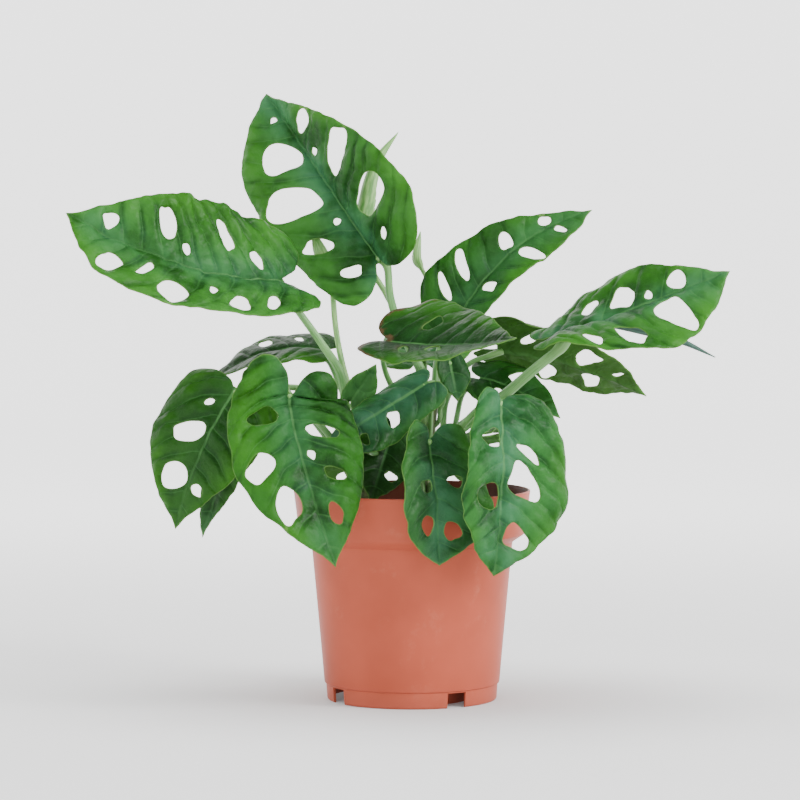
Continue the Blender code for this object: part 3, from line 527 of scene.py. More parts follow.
    def phase(self, u, v):
        """Which side veins a point lies between: a whole number on a vein."""
        found = np.zeros(len(u))
        stray = STRAY * field(u * 0.07, v * 0.07, self.seed + 5)
        for half in (LEFT, RIGHT):
            roots = self.roots[half]
            mine = (v > 0) == (half == RIGHT)
            out = np.abs(v[mine])
            root = u[mine] - self.drift(out, half) + stray[mine] * ease(0, 10, out)
            found[mine] = np.interp(root, roots, np.arange(len(roots)))
        return found

    def relief(self, u, v, edge):
        """How far the face stands off the plain curved blade."""
        out = np.abs(v)
        share = self.phase(u, v) % 1
        swell = np.abs(np.sin(math.pi * share)) ** 0.7
        swell += 0.25 * np.abs(np.sin(2 * math.pi * share)) ** 0.8
        fade = ease(0.5, 8, out) * (0.75 * ease(-0.5, 8, edge) + 0.25 * ease(0, 3, edge))
        t = np.clip(u / self.length, 0, 1)
        small = min(1, self.length / 80) * LOOKS[self.name].quilt
        height = QUILT * small * (swell - 0.55) * fade * (1 - 0.5 * t)
        height -= 0.8 * small * np.exp(-((v / 1.3) ** 2)) * (1 - 0.7 * t)
        height += 0.35 * small * np.exp(-(((out - 3.6) / 1.9) ** 2)) * (1 - 0.7 * t)
        lumps = sum(size * field(u * pitch, v * pitch, self.seed + pitch) for pitch, size in LUMPS)
        rolled = 0.5 * ease(4, 0, edge) * ease(3, 8, out)
        return height + 0.85 * small * lumps - rolled * small

    def points(self, u, v, edge):
        """The middle of the blade's thickness. Each half rises from the midrib and curls back down."""
        origin, _, side, up = self.axes(u)
        half = np.where(v > 0, RIGHT, LEFT)
        width = np.where(v > 0, self.leaf.halves[1], self.leaf.halves[0]).astype(float)
        out = np.abs(v)
        fold = math.radians(self.leaf.fold)
        bend = math.radians(self.leaf.curl) / width
        across = (math.sin(fold) - np.sin(fold - bend * out)) / bend
        rise = (np.cos(fold - bend * out) - math.cos(fold)) / bend
        rise += self.leaf.wave * (out / width) ** 2 * np.sin(math.tau * u / WAVE_PITCH + half)
        ripple = np.sin(math.tau * u / 15.5 + 2 * half + self.seed) * ease(9, 0, edge) * ease(4, 14, out)
        rise += 0.35 * self.leaf.wave * ripple + self.relief(u, v, edge)
        return origin + side * (half * across)[:, None] + up * rise[:, None]


def on_blade(points, loops):
    """Which flat points lie inside the first loop and in none of the others, the windows."""
    keep = inside(points, loops[0])
    for window in loops[1:]:
        keep &= ~inside(points, window)
    return keep


def flat_blade(blade):
    """The flat points and triangles of a blade, with its windows left open, and its loops."""
    sides = []
    for half in (RIGHT, LEFT):
        margin = blade.margins[half]
        sides.append(spread(margin, int(reach(margin)[-1] / EDGE_STEP)))
    outline = np.concatenate([sides[0], sides[1][-2::-1]])
    loops = [outline, *blade.openings]
    points = [*loops]
    edges = []
    first = 0
    for loop in loops:
        edges += [(first + i, first + (i + 1) % len(loop)) for i in range(len(loop))]
        first += len(loop)
    base = sides[0][0][0]
    rib = np.arange(base + 1.0, blade.length - 1.0, 1.7)
    points.append(np.stack([rib, rib * 0], 1))
    edges += [(first + i, first + i + 1) for i in range(len(rib) - 1)]
    extra = [np.stack([rib + 0.8, rib * 0 + aside], 1) for aside in (-2.2, -1.0, 1.0, 2.2)]
    for half in (LEFT, RIGHT):
        for root in blade.roots[half]:
            out = np.arange(3.4, pick(blade.leaf.halves, half), 1.7)
            extra.append(np.stack([root + blade.drift(out, half), half * out], 1))
    veins = np.concatenate(extra)
    rows = np.arange(-20, blade.length, GRID * 0.87)
    columns = np.arange(-50, 50, GRID)
    grid = np.array([(u, v + GRID / 2 * (n % 2)) for n, u in enumerate(rows) for v in columns])
    grid = grid[np.abs(grid[:, 1]) > 3.0]
    grid = grid[inside(grid, outline)]
    near = np.min(np.linalg.norm(grid[:, None] - veins[None], axis=2), axis=1)
    spots = np.concatenate([veins, grid[near > GRID * 0.55]])
    spots = spots[on_blade(spots, loops)]
    spots = spots[distance_to(spots, loops) > 0.7]
    points = np.concatenate([*points, spots])
    flat, _, faces, *_ = delaunay_2d_cdt([Vector(p) for p in points], edges, [], 1, 1e-5)
    flat = np.array([tuple(p) for p in flat])
    faces = np.array(faces)
    faces = faces[on_blade(flat[faces].mean(axis=1), loops)]
    used = np.unique(faces)
    number = np.full(len(flat), -1)
    number[used] = np.arange(len(used))
    return flat[used], number[faces], loops


def add(name, data):
    """A new object in the scene."""
    made = bpy.data.objects.new(name, data)
    bpy.context.scene.collection.objects.link(made)
    return made


def mesh_object(name, points, faces, surface, layers=None):
    """A new mesh object from points in mm, with vectors for its material at each point."""
    mesh = bpy.data.meshes.new(name)
    mesh.from_pydata((np.asarray(points) * MM).tolist(), [], [list(map(int, face)) for face in faces])
    for key, values in (layers or {}).items():
        layer = mesh.attributes.new(key, "FLOAT_VECTOR", "POINT")
        layer.data.foreach_set("vector", np.asarray(values, float).ravel())
    mesh.shade_smooth()
    mesh.materials.append(surface)
    return add(name, mesh)


def dress(piece, node):
    """The piece stands for a node of the part, whose slot it takes."""
    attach(piece, "root")
    if node:
        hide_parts(node)
    return piece


def point_normals(points, faces):
    corners = points[faces]
    across = np.cross(corners[:, 1] - corners[:, 0], corners[:, 2] - corners[:, 0])
    normals = np.zeros_like(points)
    for corner in range(3):
        np.add.at(normals, faces[:, corner], across)
    return unit(normals)


def make_blade(name, leaf):
    blade = Blade(name, leaf)
    flat, faces, loops = flat_blade(blade)
    u, v = flat.T
    edge = distance_to(flat, loops)
    middle = blade.points(u, v, edge)
    normals = point_normals(middle, faces)
    up = blade.axes(blade.length / 2)[3][0]
    if (normals.mean(axis=0) @ up) < 0:
        faces = faces[:, ::-1]
        normals = -normals
    t = np.clip(u / blade.length, 0, 1)
    small = min(1, blade.length / 80)
    phase = blade.phase(u, v)
    off = np.abs(phase - np.round(phase)) * VEIN_PITCH
    below = RIB * small * np.exp(-((v / 1.25) ** 2)) * (1 - 0.8 * t) * ease(0, 1.2, edge)
    below += 0.35 * small * np.exp(-((off / 0.8) ** 2)) * ease(34, 4, np.abs(v)) * ease(0, 3, edge)
    top = middle + normals * (BLADE / 2)
    bottom = middle - normals * (BLADE / 2 + below)[:, None]
    count = len(flat)
    directed = dict.fromkeys(pair for a, b, c in faces for pair in ((a, b), (b, c), (c, a)))
    solid = [*faces.tolist(), *(faces[:, ::-1] + count).tolist()]
    solid += [(b, a, a + count, b + count) for a, b in directed if (b, a) not in directed]
    share = np.abs(v) / np.maximum(np.where(v > 0, blade.width_at(u, RIGHT), blade.width_at(u, LEFT)), 1)
    lie = np.stack([phase, v, t], 1)
    rim = np.stack([edge, np.zeros(count), share], 1)
    under = rim.copy()
    under[:, 1] = 1
    layers = {"lie": np.concatenate([lie, lie]), "rim": np.concatenate([rim, under])}
    made = mesh_object(f"blade_{name}", np.concatenate([top, bottom]), solid, leaf_surface(name), layers)
    dress(made, f"leaf_{name}")


def carry(points):
    """Directions across a curve that turn as little as they can."""
    along = unit(np.gradient(points, axis=0))
    aside = (0.3, 0.2, 1.0) if abs(along[0][2]) < 0.9 else (0.0, 1.0, 0.1)
    across = [unit(np.cross(along[0], aside))]
    for direction in along[1:]:
        side = across[-1] - direction * (across[-1] @ direction)
        across.append(unit(side))
    across = np.array(across)
    return along, across, np.cross(along, across)


def bridged(starts, sides):
    """The faces between rings of points. Each ring is its first point and its count, 1 at a pole."""
    faces = []
    for (low, lows), (high, highs) in zip(starts, starts[1:]):
        for i in range(sides):
            j = (i + 1) % sides
            if lows == highs > 1:
                faces.append((low + i, low + j, high + j, high + i))
            elif highs > 1:
                faces.append((low, high + j, high + i))
            elif lows > 1:
                faces.append((low + i, low + j, high))
    return faces


def swept(name, points, section, surface, sides=20):
    """A closed tube. section gives each ring's radii from its share of the length and its angles."""
    along, across, up = carry(points)
    angle = np.arange(sides) * math.tau / sides
    walked = reach(points)
    rows, lies = [], []
    for number, point in enumerate(points):
        share = walked[number] / walked[-1]
        radius = section(share, angle)
        ring = point + np.outer(radius * np.cos(angle), across[number])
        rows.append(ring + np.outer(radius * np.sin(angle), up[number]))
        lies.append(np.stack([angle / math.tau, np.full(sides, walked[number]), np.full(sides, share)], 1))
    count = len(points)
    tips = count * sides
    starts = [(tips, 1), *((row * sides, sides) for row in range(count)), (tips + 1, 1)]
    ends = []
    for row, way in ((0, -1), (count - 1, 1)):
        radius = section(float(row > 0), angle).mean()
        ends.append(points[row] + along[row] * way * radius * 0.45)
        lies.append(np.array([[0.5, walked[row], float(row > 0)]]))
    layers = {"lie": np.concatenate(lies)}
    return mesh_object(name, np.concatenate([*rows, ends]), bridged(starts, sides), surface, layers)


def vine_point(vine, height):
    foot, top = np.array(vine.foot, float), np.array(vine.top, float)
    return foot + (top - foot) * (height - foot[2]) / (top[2] - foot[2])


def stalk_start(stalk):
    vine = VINES[stalk.vine]
    share = (stalk.height - vine.foot[2]) / (vine.top[2] - vine.foot[2])
    heading = math.radians(stalk.heading)
    beside = STEM_RADIUS - STEM_TAPER * share + stalk.base + CLEAR + 0.1
    aside = np.array((math.cos(heading), math.sin(heading), 0)) * beside
    return [vine_point(vine, stalk.height + rise) + aside for rise in (0, STALK_RISE)]


def stalk_root(stalk):
    """A point inside the vine, from which the stalk grows out."""
    return vine_point(VINES[stalk.vine], stalk.height - 5)


def stalk_route(stalk, end):
    return [stalk_root(stalk), *stalk_start(stalk), *stalk.via, *end]


def stalk_end(name, leaf):
    origin, along, _, up = (part[0] for part in Blade(name, leaf).axes(2.0))
    slant = math.radians(leaf.stalk.slant)
    gap = SOLID_BLADE / 2 + 1.4 * CLEAR + leaf.stalk.neck * math.sin(slant)
    way = up * math.cos(slant) + along * math.sin(slant)
    end = origin - up * gap
    return [end - way * STALK_RUN_IN, end, end + way * 1.2]


def make_stalk(name, leaf):
    stalk = leaf.stalk
    curve = smooth(stalk_route(stalk, stalk_end(name, leaf)), 10)
    points = spread(curve, max(24, int(reach(curve)[-1] / 1.6)))
    length = reach(points)[-1]

    def section(share, angle):
        radius = stalk.base + (stalk.neck - stalk.base) * share
        radius *= 1 + 0.26 * ease(1 - 11 / length, 1 - 5 / length, share) * ease(1.02, 0.985, share)
        radius *= 0.55 + 0.45 * ease(0, 7 / length, share)
        wing = ease(0.03, 0.12, share) * ease(0.62, 0.35, share)
        channel = np.exp(-(((angle - 1.15) / 0.28) ** 2)) + np.exp(-(((angle - 2.0) / 0.28) ** 2))
        return radius * (1 + wing * (0.30 * channel - 0.12 * np.exp(-(((angle - 1.57) / 0.3) ** 2))))

    made = swept(f"petiole_{name}", points, section, stalk_surface(name))
    dress(made, f"stalk_{name}")


def make_bud(name, bud):
    stalk = bud.stalk
    route = stalk_route(stalk, bud.roll)
    curve = smooth(route, 12)
    points = spread(curve, int(reach(curve)[-1] / 1.3))
    walked = reach(points)
    roll_start = reach(smooth(route[: -len(bud.roll) + 1], 12))[-1] / walked[-1]

    def section(share, angle):
        if share < roll_start:
            radius = stalk.base + (stalk.neck - stalk.base) * share / roll_start
            return radius * (0.55 + 0.45 * ease(0, 7 / walked[-1], share)) + angle * 0
        up = (share - roll_start) / (1 - roll_start)
        swell = math.sin(math.pi * up**0.7) * (bud.thickness - stalk.neck / 2)
        radius = stalk.neck * (1 - up) + swell + 0.25 * up
        seam = (angle / math.tau + 0.6 * up) % 1
        lap = 0.26 * (seam - 0.5) * ease(0, 0.15, up) * ease(1, 0.9, up)
        return radius * (1 + lap - 0.12 * np.abs(np.sin(angle)) * ease(0, 0.3, up))

    made = swept(f"rolled_{name}", points, section, bud_surface(name), 28)
    dress(made, name)


def root_section(share, angle):
    return 0.75 * (1 - 0.6 * share) + 0 * angle


def make_vines():
    draw = random.Random(5)
    for name, vine in VINES.items():
        foot, top = np.array(vine.foot, float), np.array(vine.top, float)
        bottom = foot - (0, 0, STEM_DEPTH)
        curve = spread(smooth([bottom, foot, foot + (top - foot) * 0.5, top], 14), 70)
        nodes = sorted(s.stalk.height for s in [*LEAVES.values(), *BUDS.values()] if s.stalk.vine == name)
        places = [(STEM_DEPTH + height - foot[2]) / (STEM_DEPTH + top[2] - foot[2]) for height in nodes]

        def section(share, angle, places=places):
            radius = STEM_RADIUS - STEM_TAPER * share
            rings = sum(math.exp(-(((share - place) / 0.012) ** 2)) for place in places)
            return radius * (0.97 + 0.07 * min(rings, 1)) + 0.12 * np.sin(3 * angle + 30 * share)

        made = swept(f"vine_{name}", curve, section, VINE_SURFACE, 24)
        dress(made, f"stem_{name}")
        for number, height in enumerate(nodes[::2]):
            heading = draw.uniform(0, math.tau)
            start = vine_point(vine, height - 4)
            way = np.array((math.cos(heading), math.sin(heading), 0.1))
            reach_out = draw.uniform(5, 8)
            droop = start + way * reach_out - (0, 0, draw.uniform(2, 5))
            path = spread(smooth([start, start + way * 3.2, droop], 8), 12)
            dress(swept(f"root_{name}_{number}", path, root_section, ROOT_SURFACE, 8), None)


def pot_profile():
    """Down the outside with softened corners, in under the foot ring, and back up inside."""
    rim, band, neck, body = RIM_RADIUS, BAND_FOOT_RADIUS, SHOULDER_RADIUS, BODY_FOOT_RADIUS
    ankle, ring, pad, inner = FOOT_TOP_RADIUS, FOOT_RADIUS, PAD_RADIUS, FOOT_RADIUS - WALL
    top, low, step, foot = POT_HEIGHT, BAND_FOOT_HEIGHT, SHOULDER_HEIGHT, FOOT_HEIGHT
    return [
        (rim - WALL, top - 0.3), (rim - 1.1, top), (rim - 0.45, top), (rim - 0.05, top - 0.35),
        (rim, top - 1.0), (rim - 0.25, top - 1.9), (band + 1.2, (top + low) / 2), (band, low + 0.7),
        (band - 0.15, low + 0.2), (band - 0.7, low - 0.4), (neck + 1.1, step + 0.5),
        (neck + 0.2, step - 0.1), (neck - 0.1, step - 1.2), (body + (neck - body) * 0.66, 57),
        (body + (neck - body) * 0.33, 33), (body + 0.1, foot + 1.4), (body - 0.1, foot + 0.7),
        (ankle - 0.3, foot + 0.2), (ankle - 0.4, foot - 0.6), (ring, 1.2), (ring - 0.2, 0.4),
        (ring - 0.7, 0), (inner + 0.1, 0), (inner + 0.4, foot), (pad + 3.0, foot), (pad, 0), (0, 0),
        (0, WALL), (pad - 1.0, WALL), (pad + 2.0, foot + WALL), (body - WALL, foot + WALL),
        (neck - WALL, step + 1.0), (band - WALL, low + 1.0), (rim - 1.2 * WALL, top - 1.2),
        (rim - WALL, top - 0.3),
    ]


def lathe(rows, turns):
    """The points and faces of a shape turned round the z axis. Each row is a radius and a height,
    and the height may be a function of the radius and the turn."""
    points, starts = [], []
    for radius, height in rows:
        count = turns if radius else 1
        starts.append((len(points), count))
        for number in range(count):
            turn = math.tau * number / turns
            z = height(radius, turn) if callable(height) else height
            points.append((radius * math.cos(turn), radius * math.sin(turn), z))
    return points, bridged(starts, turns)


def cut_pot(pot, radius, turn, height, size, vertices=4):
    """Takes a block, or a round hole, out of the pot with an exact cut."""
    if vertices == 4:
        bpy.ops.mesh.primitive_cube_add(size=1)
    else:
        bpy.ops.mesh.primitive_cylinder_add(vertices=vertices, radius=0.5, depth=1)
    cutter = bpy.context.object
    cutter.scale = Vector(size) * MM
    cutter.location = Vector((math.sin(turn) * radius, -math.cos(turn) * radius, height)) * MM
    cutter.rotation_euler = (0, 0, turn)
    modifier = pot.modifiers.new("cut", "BOOLEAN")
    modifier.object = cutter
    modifier.solver = "EXACT"
    return cutter


def make_pot():
    points, faces = lathe(pot_profile(), POT_SEGMENTS)
    pot = mesh_object("nursery_pot", points, faces, POT_SURFACE)
    build = bmesh.new()
    build.from_mesh(pot.data)
    bmesh.ops.remove_doubles(build, verts=build.verts, dist=WELD * MM)
    bmesh.ops.recalc_face_normals(build, faces=build.faces)
    build.to_mesh(pot.data)
    build.free()
    cutters = []
    for angle in NOTCH_ANGLES:
        size = (NOTCH_WIDTH, 8, 2 * FOOT_HEIGHT - 0.6)
        cutters.append(cut_pot(pot, FOOT_RADIUS, math.radians(angle), 0, size))
    for number in range(DRAINS):
        turn = math.tau * number / DRAINS + math.pi / 2
        size = (2 * DRAIN_RADIUS, 2 * DRAIN_RADIUS, 8)
        cutters.append(cut_pot(pot, DRAIN_CIRCLE, turn, FOOT_HEIGHT, size, 28))
    bake_shape(pot)
    for cutter in cutters:
        bpy.data.objects.remove(cutter, do_unlink=True)
    pot.data.shade_smooth()
    pot.data.set_sharp_from_angle(angle=math.radians(38))
    dress(pot, "pot")


def bake_shape(made):
    """Makes what the object's modifiers give its own mesh."""
    bpy.context.view_layer.update()
    shape = bpy.data.meshes.new_from_object(made.evaluated_get(bpy.context.evaluated_depsgraph_get()))
    made.modifiers.clear()
    made.data = shape


def soil_height(radius, turn):
    share = radius / BAND_FOOT_RADIUS
    lumps = math.sin(3 * turn + 9 * share) + math.sin(5 * turn - 14 * share + 2)
    plain = SOIL_TOP + SOIL_SWELL * (1 - share) + 0.7 * lumps * share * (1 - share) * 4
    x, y = radius * math.cos(turn), radius * math.sin(turn)
    rough = noise.noise((x * 0.16, y * 0.16, 1)) * 1.2 + noise.noise((x * 0.5, y * 0.5, 4)) * 0.8
    rough += noise.noise((x * 1.3, y * 1.3, 9)) * 0.45
    return plain + rough - 0.3


def make_soil():
    edge = BAND_FOOT_RADIUS - WALL - CLEAR + 0.6
    rows = [(0, 2.2), (PAD_RADIUS, 2.2), (PAD_RADIUS + 2, 10), (BODY_FOOT_RADIUS - WALL - 0.5, 10)]
    rows += [(SHOULDER_RADIUS - WALL - 0.5, SHOULDER_HEIGHT), (edge - 0.6, BAND_FOOT_HEIGHT + 1)]
    rows += [(edge * ring / SOIL_RINGS, soil_height) for ring in range(SOIL_RINGS, -1, -1)]
    points, faces = lathe(rows, POT_SEGMENTS)
    dress(mesh_object("peat", points, faces, SOIL_SURFACE), "soil")
    crumbs()


def crumbs():
    """Lumps of peat, bits of bark and a few white grains of perlite that lie on the soil."""
    draw = random.Random(11)
    for name, surface, count, small, large in (
        ("peat_crumbs", CRUMB_SURFACE, 420, 0.5, 1.6),
        ("bark_bits", BARK_SURFACE, 70, 0.8, 2.2),
        ("perlite", PERLITE_SURFACE, 34, 0.5, 1.1),
    ):
        build = bmesh.new()
        for _ in range(count):
            radius = (BAND_FOOT_RADIUS - 4.5) * math.sqrt(draw.random())
            turn = draw.uniform(0, math.tau)
            size = draw.uniform(small, large)
            height = soil_height(radius, turn) + size * 0.25
            where = Vector((radius * math.cos(turn), radius * math.sin(turn), height))
            place = Matrix.Translation(where * MM) @ Matrix.Rotation(draw.uniform(0, math.tau), 4, "Z")
            place @= Matrix.Rotation(draw.uniform(0, 1.5), 4, "X")
            place @= Matrix.Diagonal((1, draw.uniform(0.6, 1), draw.uniform(0.4, 0.9), 1))
            lump = bmesh.ops.create_icosphere(build, subdivisions=1, radius=size * MM, matrix=place)
            for vertex in lump["verts"]:
                vertex.co += Vector([draw.uniform(-0.18, 0.18) * size * MM for _ in range(3)])
        mesh = bpy.data.meshes.new(name)
        build.to_mesh(mesh)
        build.free()
        mesh.materials.append(surface)
        dress(add(name, mesh), None)


# Colours that the blades share, in linear red, green and blue.
WARM_GREEN = (0.04, 0.19, 0.008)
# A bluish green, painted on near the midrib as sheen.
PAINTED_SHEEN_BLUE = (0.045, 0.165, 0.09)
VEIN_GREEN = (0.06, 0.2, 0.05)
RIB_GREEN = (0.085, 0.235, 0.07)
UNDERSIDE = (0.048, 0.13, 0.022)
RIM_GREEN = (0.16, 0.31, 0.07)
NET_GREEN = (0.05, 0.16, 0.04)
LIT_GREEN = (0.1, 0.36, 0.02)
DRY_BROWN = (0.085, 0.045, 0.022)


class Graph:
    """A material's nodes, made from values and other nodes' outputs."""

    def __init__(self, name):
        self.material = bpy.data.materials.new(name)
        self.material.use_nodes = True
        self.tree = self.material.node_tree
        self.shader = self.tree.nodes["Principled BSDF"]
        self.out = self.tree.nodes["Material Output"]

    def put(self, socket, value):
        if isinstance(value, bpy.types.NodeSocket):
            self.tree.links.new(value, socket)
        elif isinstance(value, tuple) and len(value) == 3 and socket.type == "RGBA":
            socket.default_value = (*value, 1)
        elif value is not None:
            socket.default_value = value

    def node(self, kind, values=None, **settings):
        made = self.tree.nodes.new(kind)
        for key, value in settings.items():
            setattr(made, key, value)
        for key, value in (values or {}).items():
            self.put(made.inputs[key], value)
        return made

    def math(self, operation, a, b=0):
        return self.node("ShaderNodeMath", {0: a, 1: b}, operation=operation).outputs[0]

    def plus(self, a, b):
        return self.math("ADD", a, b)

    def minus(self, a, b):
        return self.math("SUBTRACT", a, b)

    def times(self, a, b):
        return self.math("MULTIPLY", a, b)

    def mix(self, share, a, b):
        return self.node("ShaderNodeMix", {0: share, 6: a, 7: b}, data_type="RGBA").outputs[2]

    def between(self, value, low, high, start=0, end=1):
        """start at low and end at high, smooth in between."""
        values = dict(enumerate((value, low, high, start, end)))
        return self.node("ShaderNodeMapRange", values, interpolation_type="SMOOTHSTEP").outputs[0]

    def layer(self, name):
        """The three numbers of one of the mesh's vectors."""
        read = self.node("ShaderNodeAttribute", attribute_name=name)
        split = self.node("ShaderNodeSeparateXYZ", {0: read.outputs["Vector"]})
        return split.outputs

    def place(self):
        return self.node("ShaderNodeTexCoord").outputs["Object"]

    def noise(self, scale, detail=3, roughness=0.5, vector=None, stretch=None):
        vector = vector or self.place()
        if stretch:
            vector = self.node("ShaderNodeMapping", {0: vector, 3: stretch}).outputs[0]
        values = {0: vector, "Scale": scale, "Detail": detail, "Roughness": roughness}
        return self.node("ShaderNodeTexNoise", values).outputs[0]

    def streaks(self, around, along, turns, pitch):
        """Lines that run along a tube."""
        place = {0: self.times(around, turns), 1: self.times(along, pitch)}
        return self.noise(1, 3, 0.6, self.node("ShaderNodeCombineXYZ", place).outputs[0])

    def bump(self, height, distance, strength=1, normal=None):
        values = {"Height": height, "Distance": distance, "Strength": strength, "Normal": normal}
        return self.node("ShaderNodeBump", values).outputs[0]

    def finish(self, colour, roughness, normal=None, **constants):
        for key, value in (("Base Color", colour), ("Roughness", roughness), ("Normal", normal)):
            self.put(self.shader.inputs[key], value)
        for key, value in constants.items():
            self.shader.inputs[key.replace("_", " ")].default_value = value
        return self.material

    def glow_through(self, colour, share, normal):
        """Lets part of the light through, as thin leaves do."""
        through = self.node("ShaderNodeBsdfTranslucent", {"Color": colour, "Normal": normal})
        both = self.node("ShaderNodeMixShader", {0: share, 1: self.shader.outputs[0], 2: through.outputs[0]})
        self.tree.links.new(both.outputs[0], self.out.inputs[0])


def leaf_surface(name):
    """Green in patches, with painted shade in the creases beside its veins and a painted bluish sheen near
    the midrib, paler below and at its rims.
    """
    look = LOOKS[name]
    g = Graph(f"blade {name}")
    phase, aside, along = g.layer("lie")
    edge, under, share = g.layer("rim")
    out = g.math("ABSOLUTE", aside)
    fraction = g.math("FRACT", phase)
    near_vein = g.math("MINIMUM", fraction, g.minus(1, fraction))
    crease = g.between(near_vein, 0, 0.3, 1, 0)
    vein = g.between(near_vein, 0, 0.055, 1, 0)
    vein = g.times(vein, g.between(share, 0.55, 0.98, 1, 0))
    rib = g.between(out, 0.35, 1.15, 1, 0)
    patches = g.noise(38, 3, 0.55)
    speckle = g.noise(420, 1, 0.6)
    tone = g.plus(g.minus(g.times(patches, 1.9), 0.325), g.times(share, 0.3))
    # Painted shade: the creases beside the side veins are darkened in patches.
    painted_crease_shade = g.times(g.times(crease, 0.42), g.between(g.noise(55, 2), 0.38, 0.64))
    tone = g.plus(g.minus(tone, painted_crease_shade), g.times(along, 0.18))
    colour = g.mix(g.between(tone, 0.45, 1.05), look.deep, look.light)
    colour = g.mix(g.times(g.between(speckle, 0.35, 0.7), 0.1), colour, look.light)
    warm = g.times(g.between(share, 0.35, 1), g.between(g.noise(24, 3), 0.4, 0.62))
    colour = g.mix(g.times(warm, 0.45), colour, WARM_GREEN)
    # Painted sheen: a bluish green laid on in patches near the midrib, standing in for a reflection.
    painted_sheen_mask = g.times(g.between(out, 1, 20, 1, 0), g.between(patches, 0.36, 0.6))
    colour = g.mix(g.times(painted_sheen_mask, look.sheen), colour, PAINTED_SHEEN_BLUE)
    colour = g.mix(g.times(vein, 0.3), colour, VEIN_GREEN)
    colour = g.mix(g.times(rib, g.between(along, 0.05, 0.85, 0.65, 0.15)), colour, RIB_GREEN)
    colour = g.mix(under, colour, g.mix(0.45, colour, UNDERSIDE))
    colour = g.mix(g.times(g.between(edge, 0.05, 0.6, 1, 0), 0.42), colour, RIM_GREEN)
    if look.dry:
        ragged = g.plus(edge, g.between(g.noise(160, 4), 0.3, 0.7, -2.2, 2.2))
        dry = g.between(ragged, 0.6, 2.6, look.dry, 0)
        colour = g.mix(g.times(dry, g.between(along, 0.02, 0.22, 1, 0)), colour, DRY_BROWN)
    cells = {0: g.place(), "Scale": 430}
    net = g.node("ShaderNodeTexVoronoi", cells, feature="DISTANCE_TO_EDGE").outputs[0]
    netting = g.minus(1, g.between(net, 0, 0.1, 0, 1))
    colour = g.mix(g.times(netting, 0.1), colour, NET_GREEN)
    normal = g.bump(g.noise(150, 3, 0.62), 0.0014, 0.7)
    furrow = g.math("POWER", g.between(near_vein, 0, 0.22), 0.6)
    normal = g.bump(furrow, 0.0005, 0.6, normal)
    rough = g.plus(g.between(patches, 0.3, 0.7, 0.36, 0.5), g.times(under, 0.2))
    g.finish(colour, rough, normal, Specular_IOR_Level=0.2, IOR=1.35)
    g.glow_through(g.mix(0.5, colour, LIT_GREEN), 0.14, normal)
    return g.material


def stalk_surface(name):
    g = Graph(f"stalk {name}")
    around, along, share = g.layer("lie")
    lines = g.streaks(around, along, 26, 0.07)
    patches = g.noise(60, 3)
    tone = g.plus(g.times(lines, 0.6), g.times(patches, 0.4))
    colour = g.mix(g.between(tone, 0.35, 0.65), (0.06, 0.2, 0.042), (0.15, 0.345, 0.1))
    foot = g.between(share, 0, 0.28, 0.65, 0)
    colour = g.mix(foot, colour, (0.11, 0.19, 0.055))
    neck = g.between(share, 0.86, 0.95, 0, 0.5)
    colour = g.mix(neck, colour, (0.16, 0.33, 0.09))
    normal = g.bump(lines, 0.0002, 0.6)
    return g.finish(colour, g.between(patches, 0.3, 0.7, 0.36, 0.48), normal)


BUD_TINTS = {"bud_right": ((0.016, 0.06, 0.04), (0.04, 0.12, 0.085))}


def bud_surface(name):
    g = Graph(f"rolled leaf {name}")
    around, along, share = g.layer("lie")
    lines = g.streaks(around, along, 18, 0.1)
    deep, light = BUD_TINTS.get(name, ((0.1, 0.28, 0.06), (0.27, 0.5, 0.16)))
    colour = g.mix(g.between(lines, 0.35, 0.65), deep, light)
    colour = g.mix(g.between(share, 0, 0.4, 0.6, 0), colour, (0.12, 0.25, 0.06))
    normal = g.bump(lines, 0.0003, 0.7)
    g.finish(colour, 0.42, normal)
    g.glow_through(colour, 0.12, normal)
    return g.material


def plastic_surface():
    g = Graph("terracotta plastic")
    split = g.node("ShaderNodeSeparateXYZ", {0: g.place()}).outputs
    clouds = g.noise(22, 3, 0.55)
    grain = g.noise(900, 2, 0.6)
    colour = g.mix(g.between(clouds, 0.3, 0.7), (0.34, 0.068, 0.037), (0.4, 0.082, 0.046))
    dust = g.times(g.between(g.noise(70, 5, 0.65), 0.56, 0.78), 0.18)
    colour = g.mix(dust, colour, (0.55, 0.22, 0.14))
    radius = g.math("SQRT", g.plus(g.math("POWER", split[0], 2), g.math("POWER", split[1], 2)))
    # Painted shade: the inside of the wall above the soil is darkened.
    middle_of_wall = g.between(split[2], 0.085, 0.107, 0.0571, 0.0596)
    painted_inner_shade = g.math("LESS_THAN", radius, middle_of_wall)
    painted_inner_shade = g.times(painted_inner_shade, g.math("GREATER_THAN", split[2], 0.086))
    colour = g.mix(g.times(painted_inner_shade, 0.8), colour, (0.05, 0.022, 0.016))
    # Darker towards the bottom.
    darker_towards_bottom = g.between(split[2], 0, 0.012, 0.18, 0)
    colour = g.mix(darker_towards_bottom, colour, (0.3, 0.1, 0.07))
    flow = g.noise(14, 3, 0.5, stretch=(1, 1, 0.12))
    height = g.plus(g.times(grain, 0.25), flow)
    normal = g.bump(height, 0.0002, 0.35)
    rough = g.plus(g.between(clouds, 0.3, 0.7, 0.34, 0.42), g.times(dust, 0.5))
    return g.finish(colour, rough, normal, Specular_IOR_Level=0.12, IOR=1.4)


def earth_surface(name, dark, light, scale, roughness=0.95):
    g = Graph(name)
    tone = g.noise(scale, 6, 0.7)
    colour = g.mix(g.between(tone, 0.32, 0.7), dark, light)
    normal = g.bump(g.noise(scale * 3, 5, 0.7), 0.0006, 0.8)
    return g.finish(colour, roughness, normal, Specular_IOR_Level=0.25)


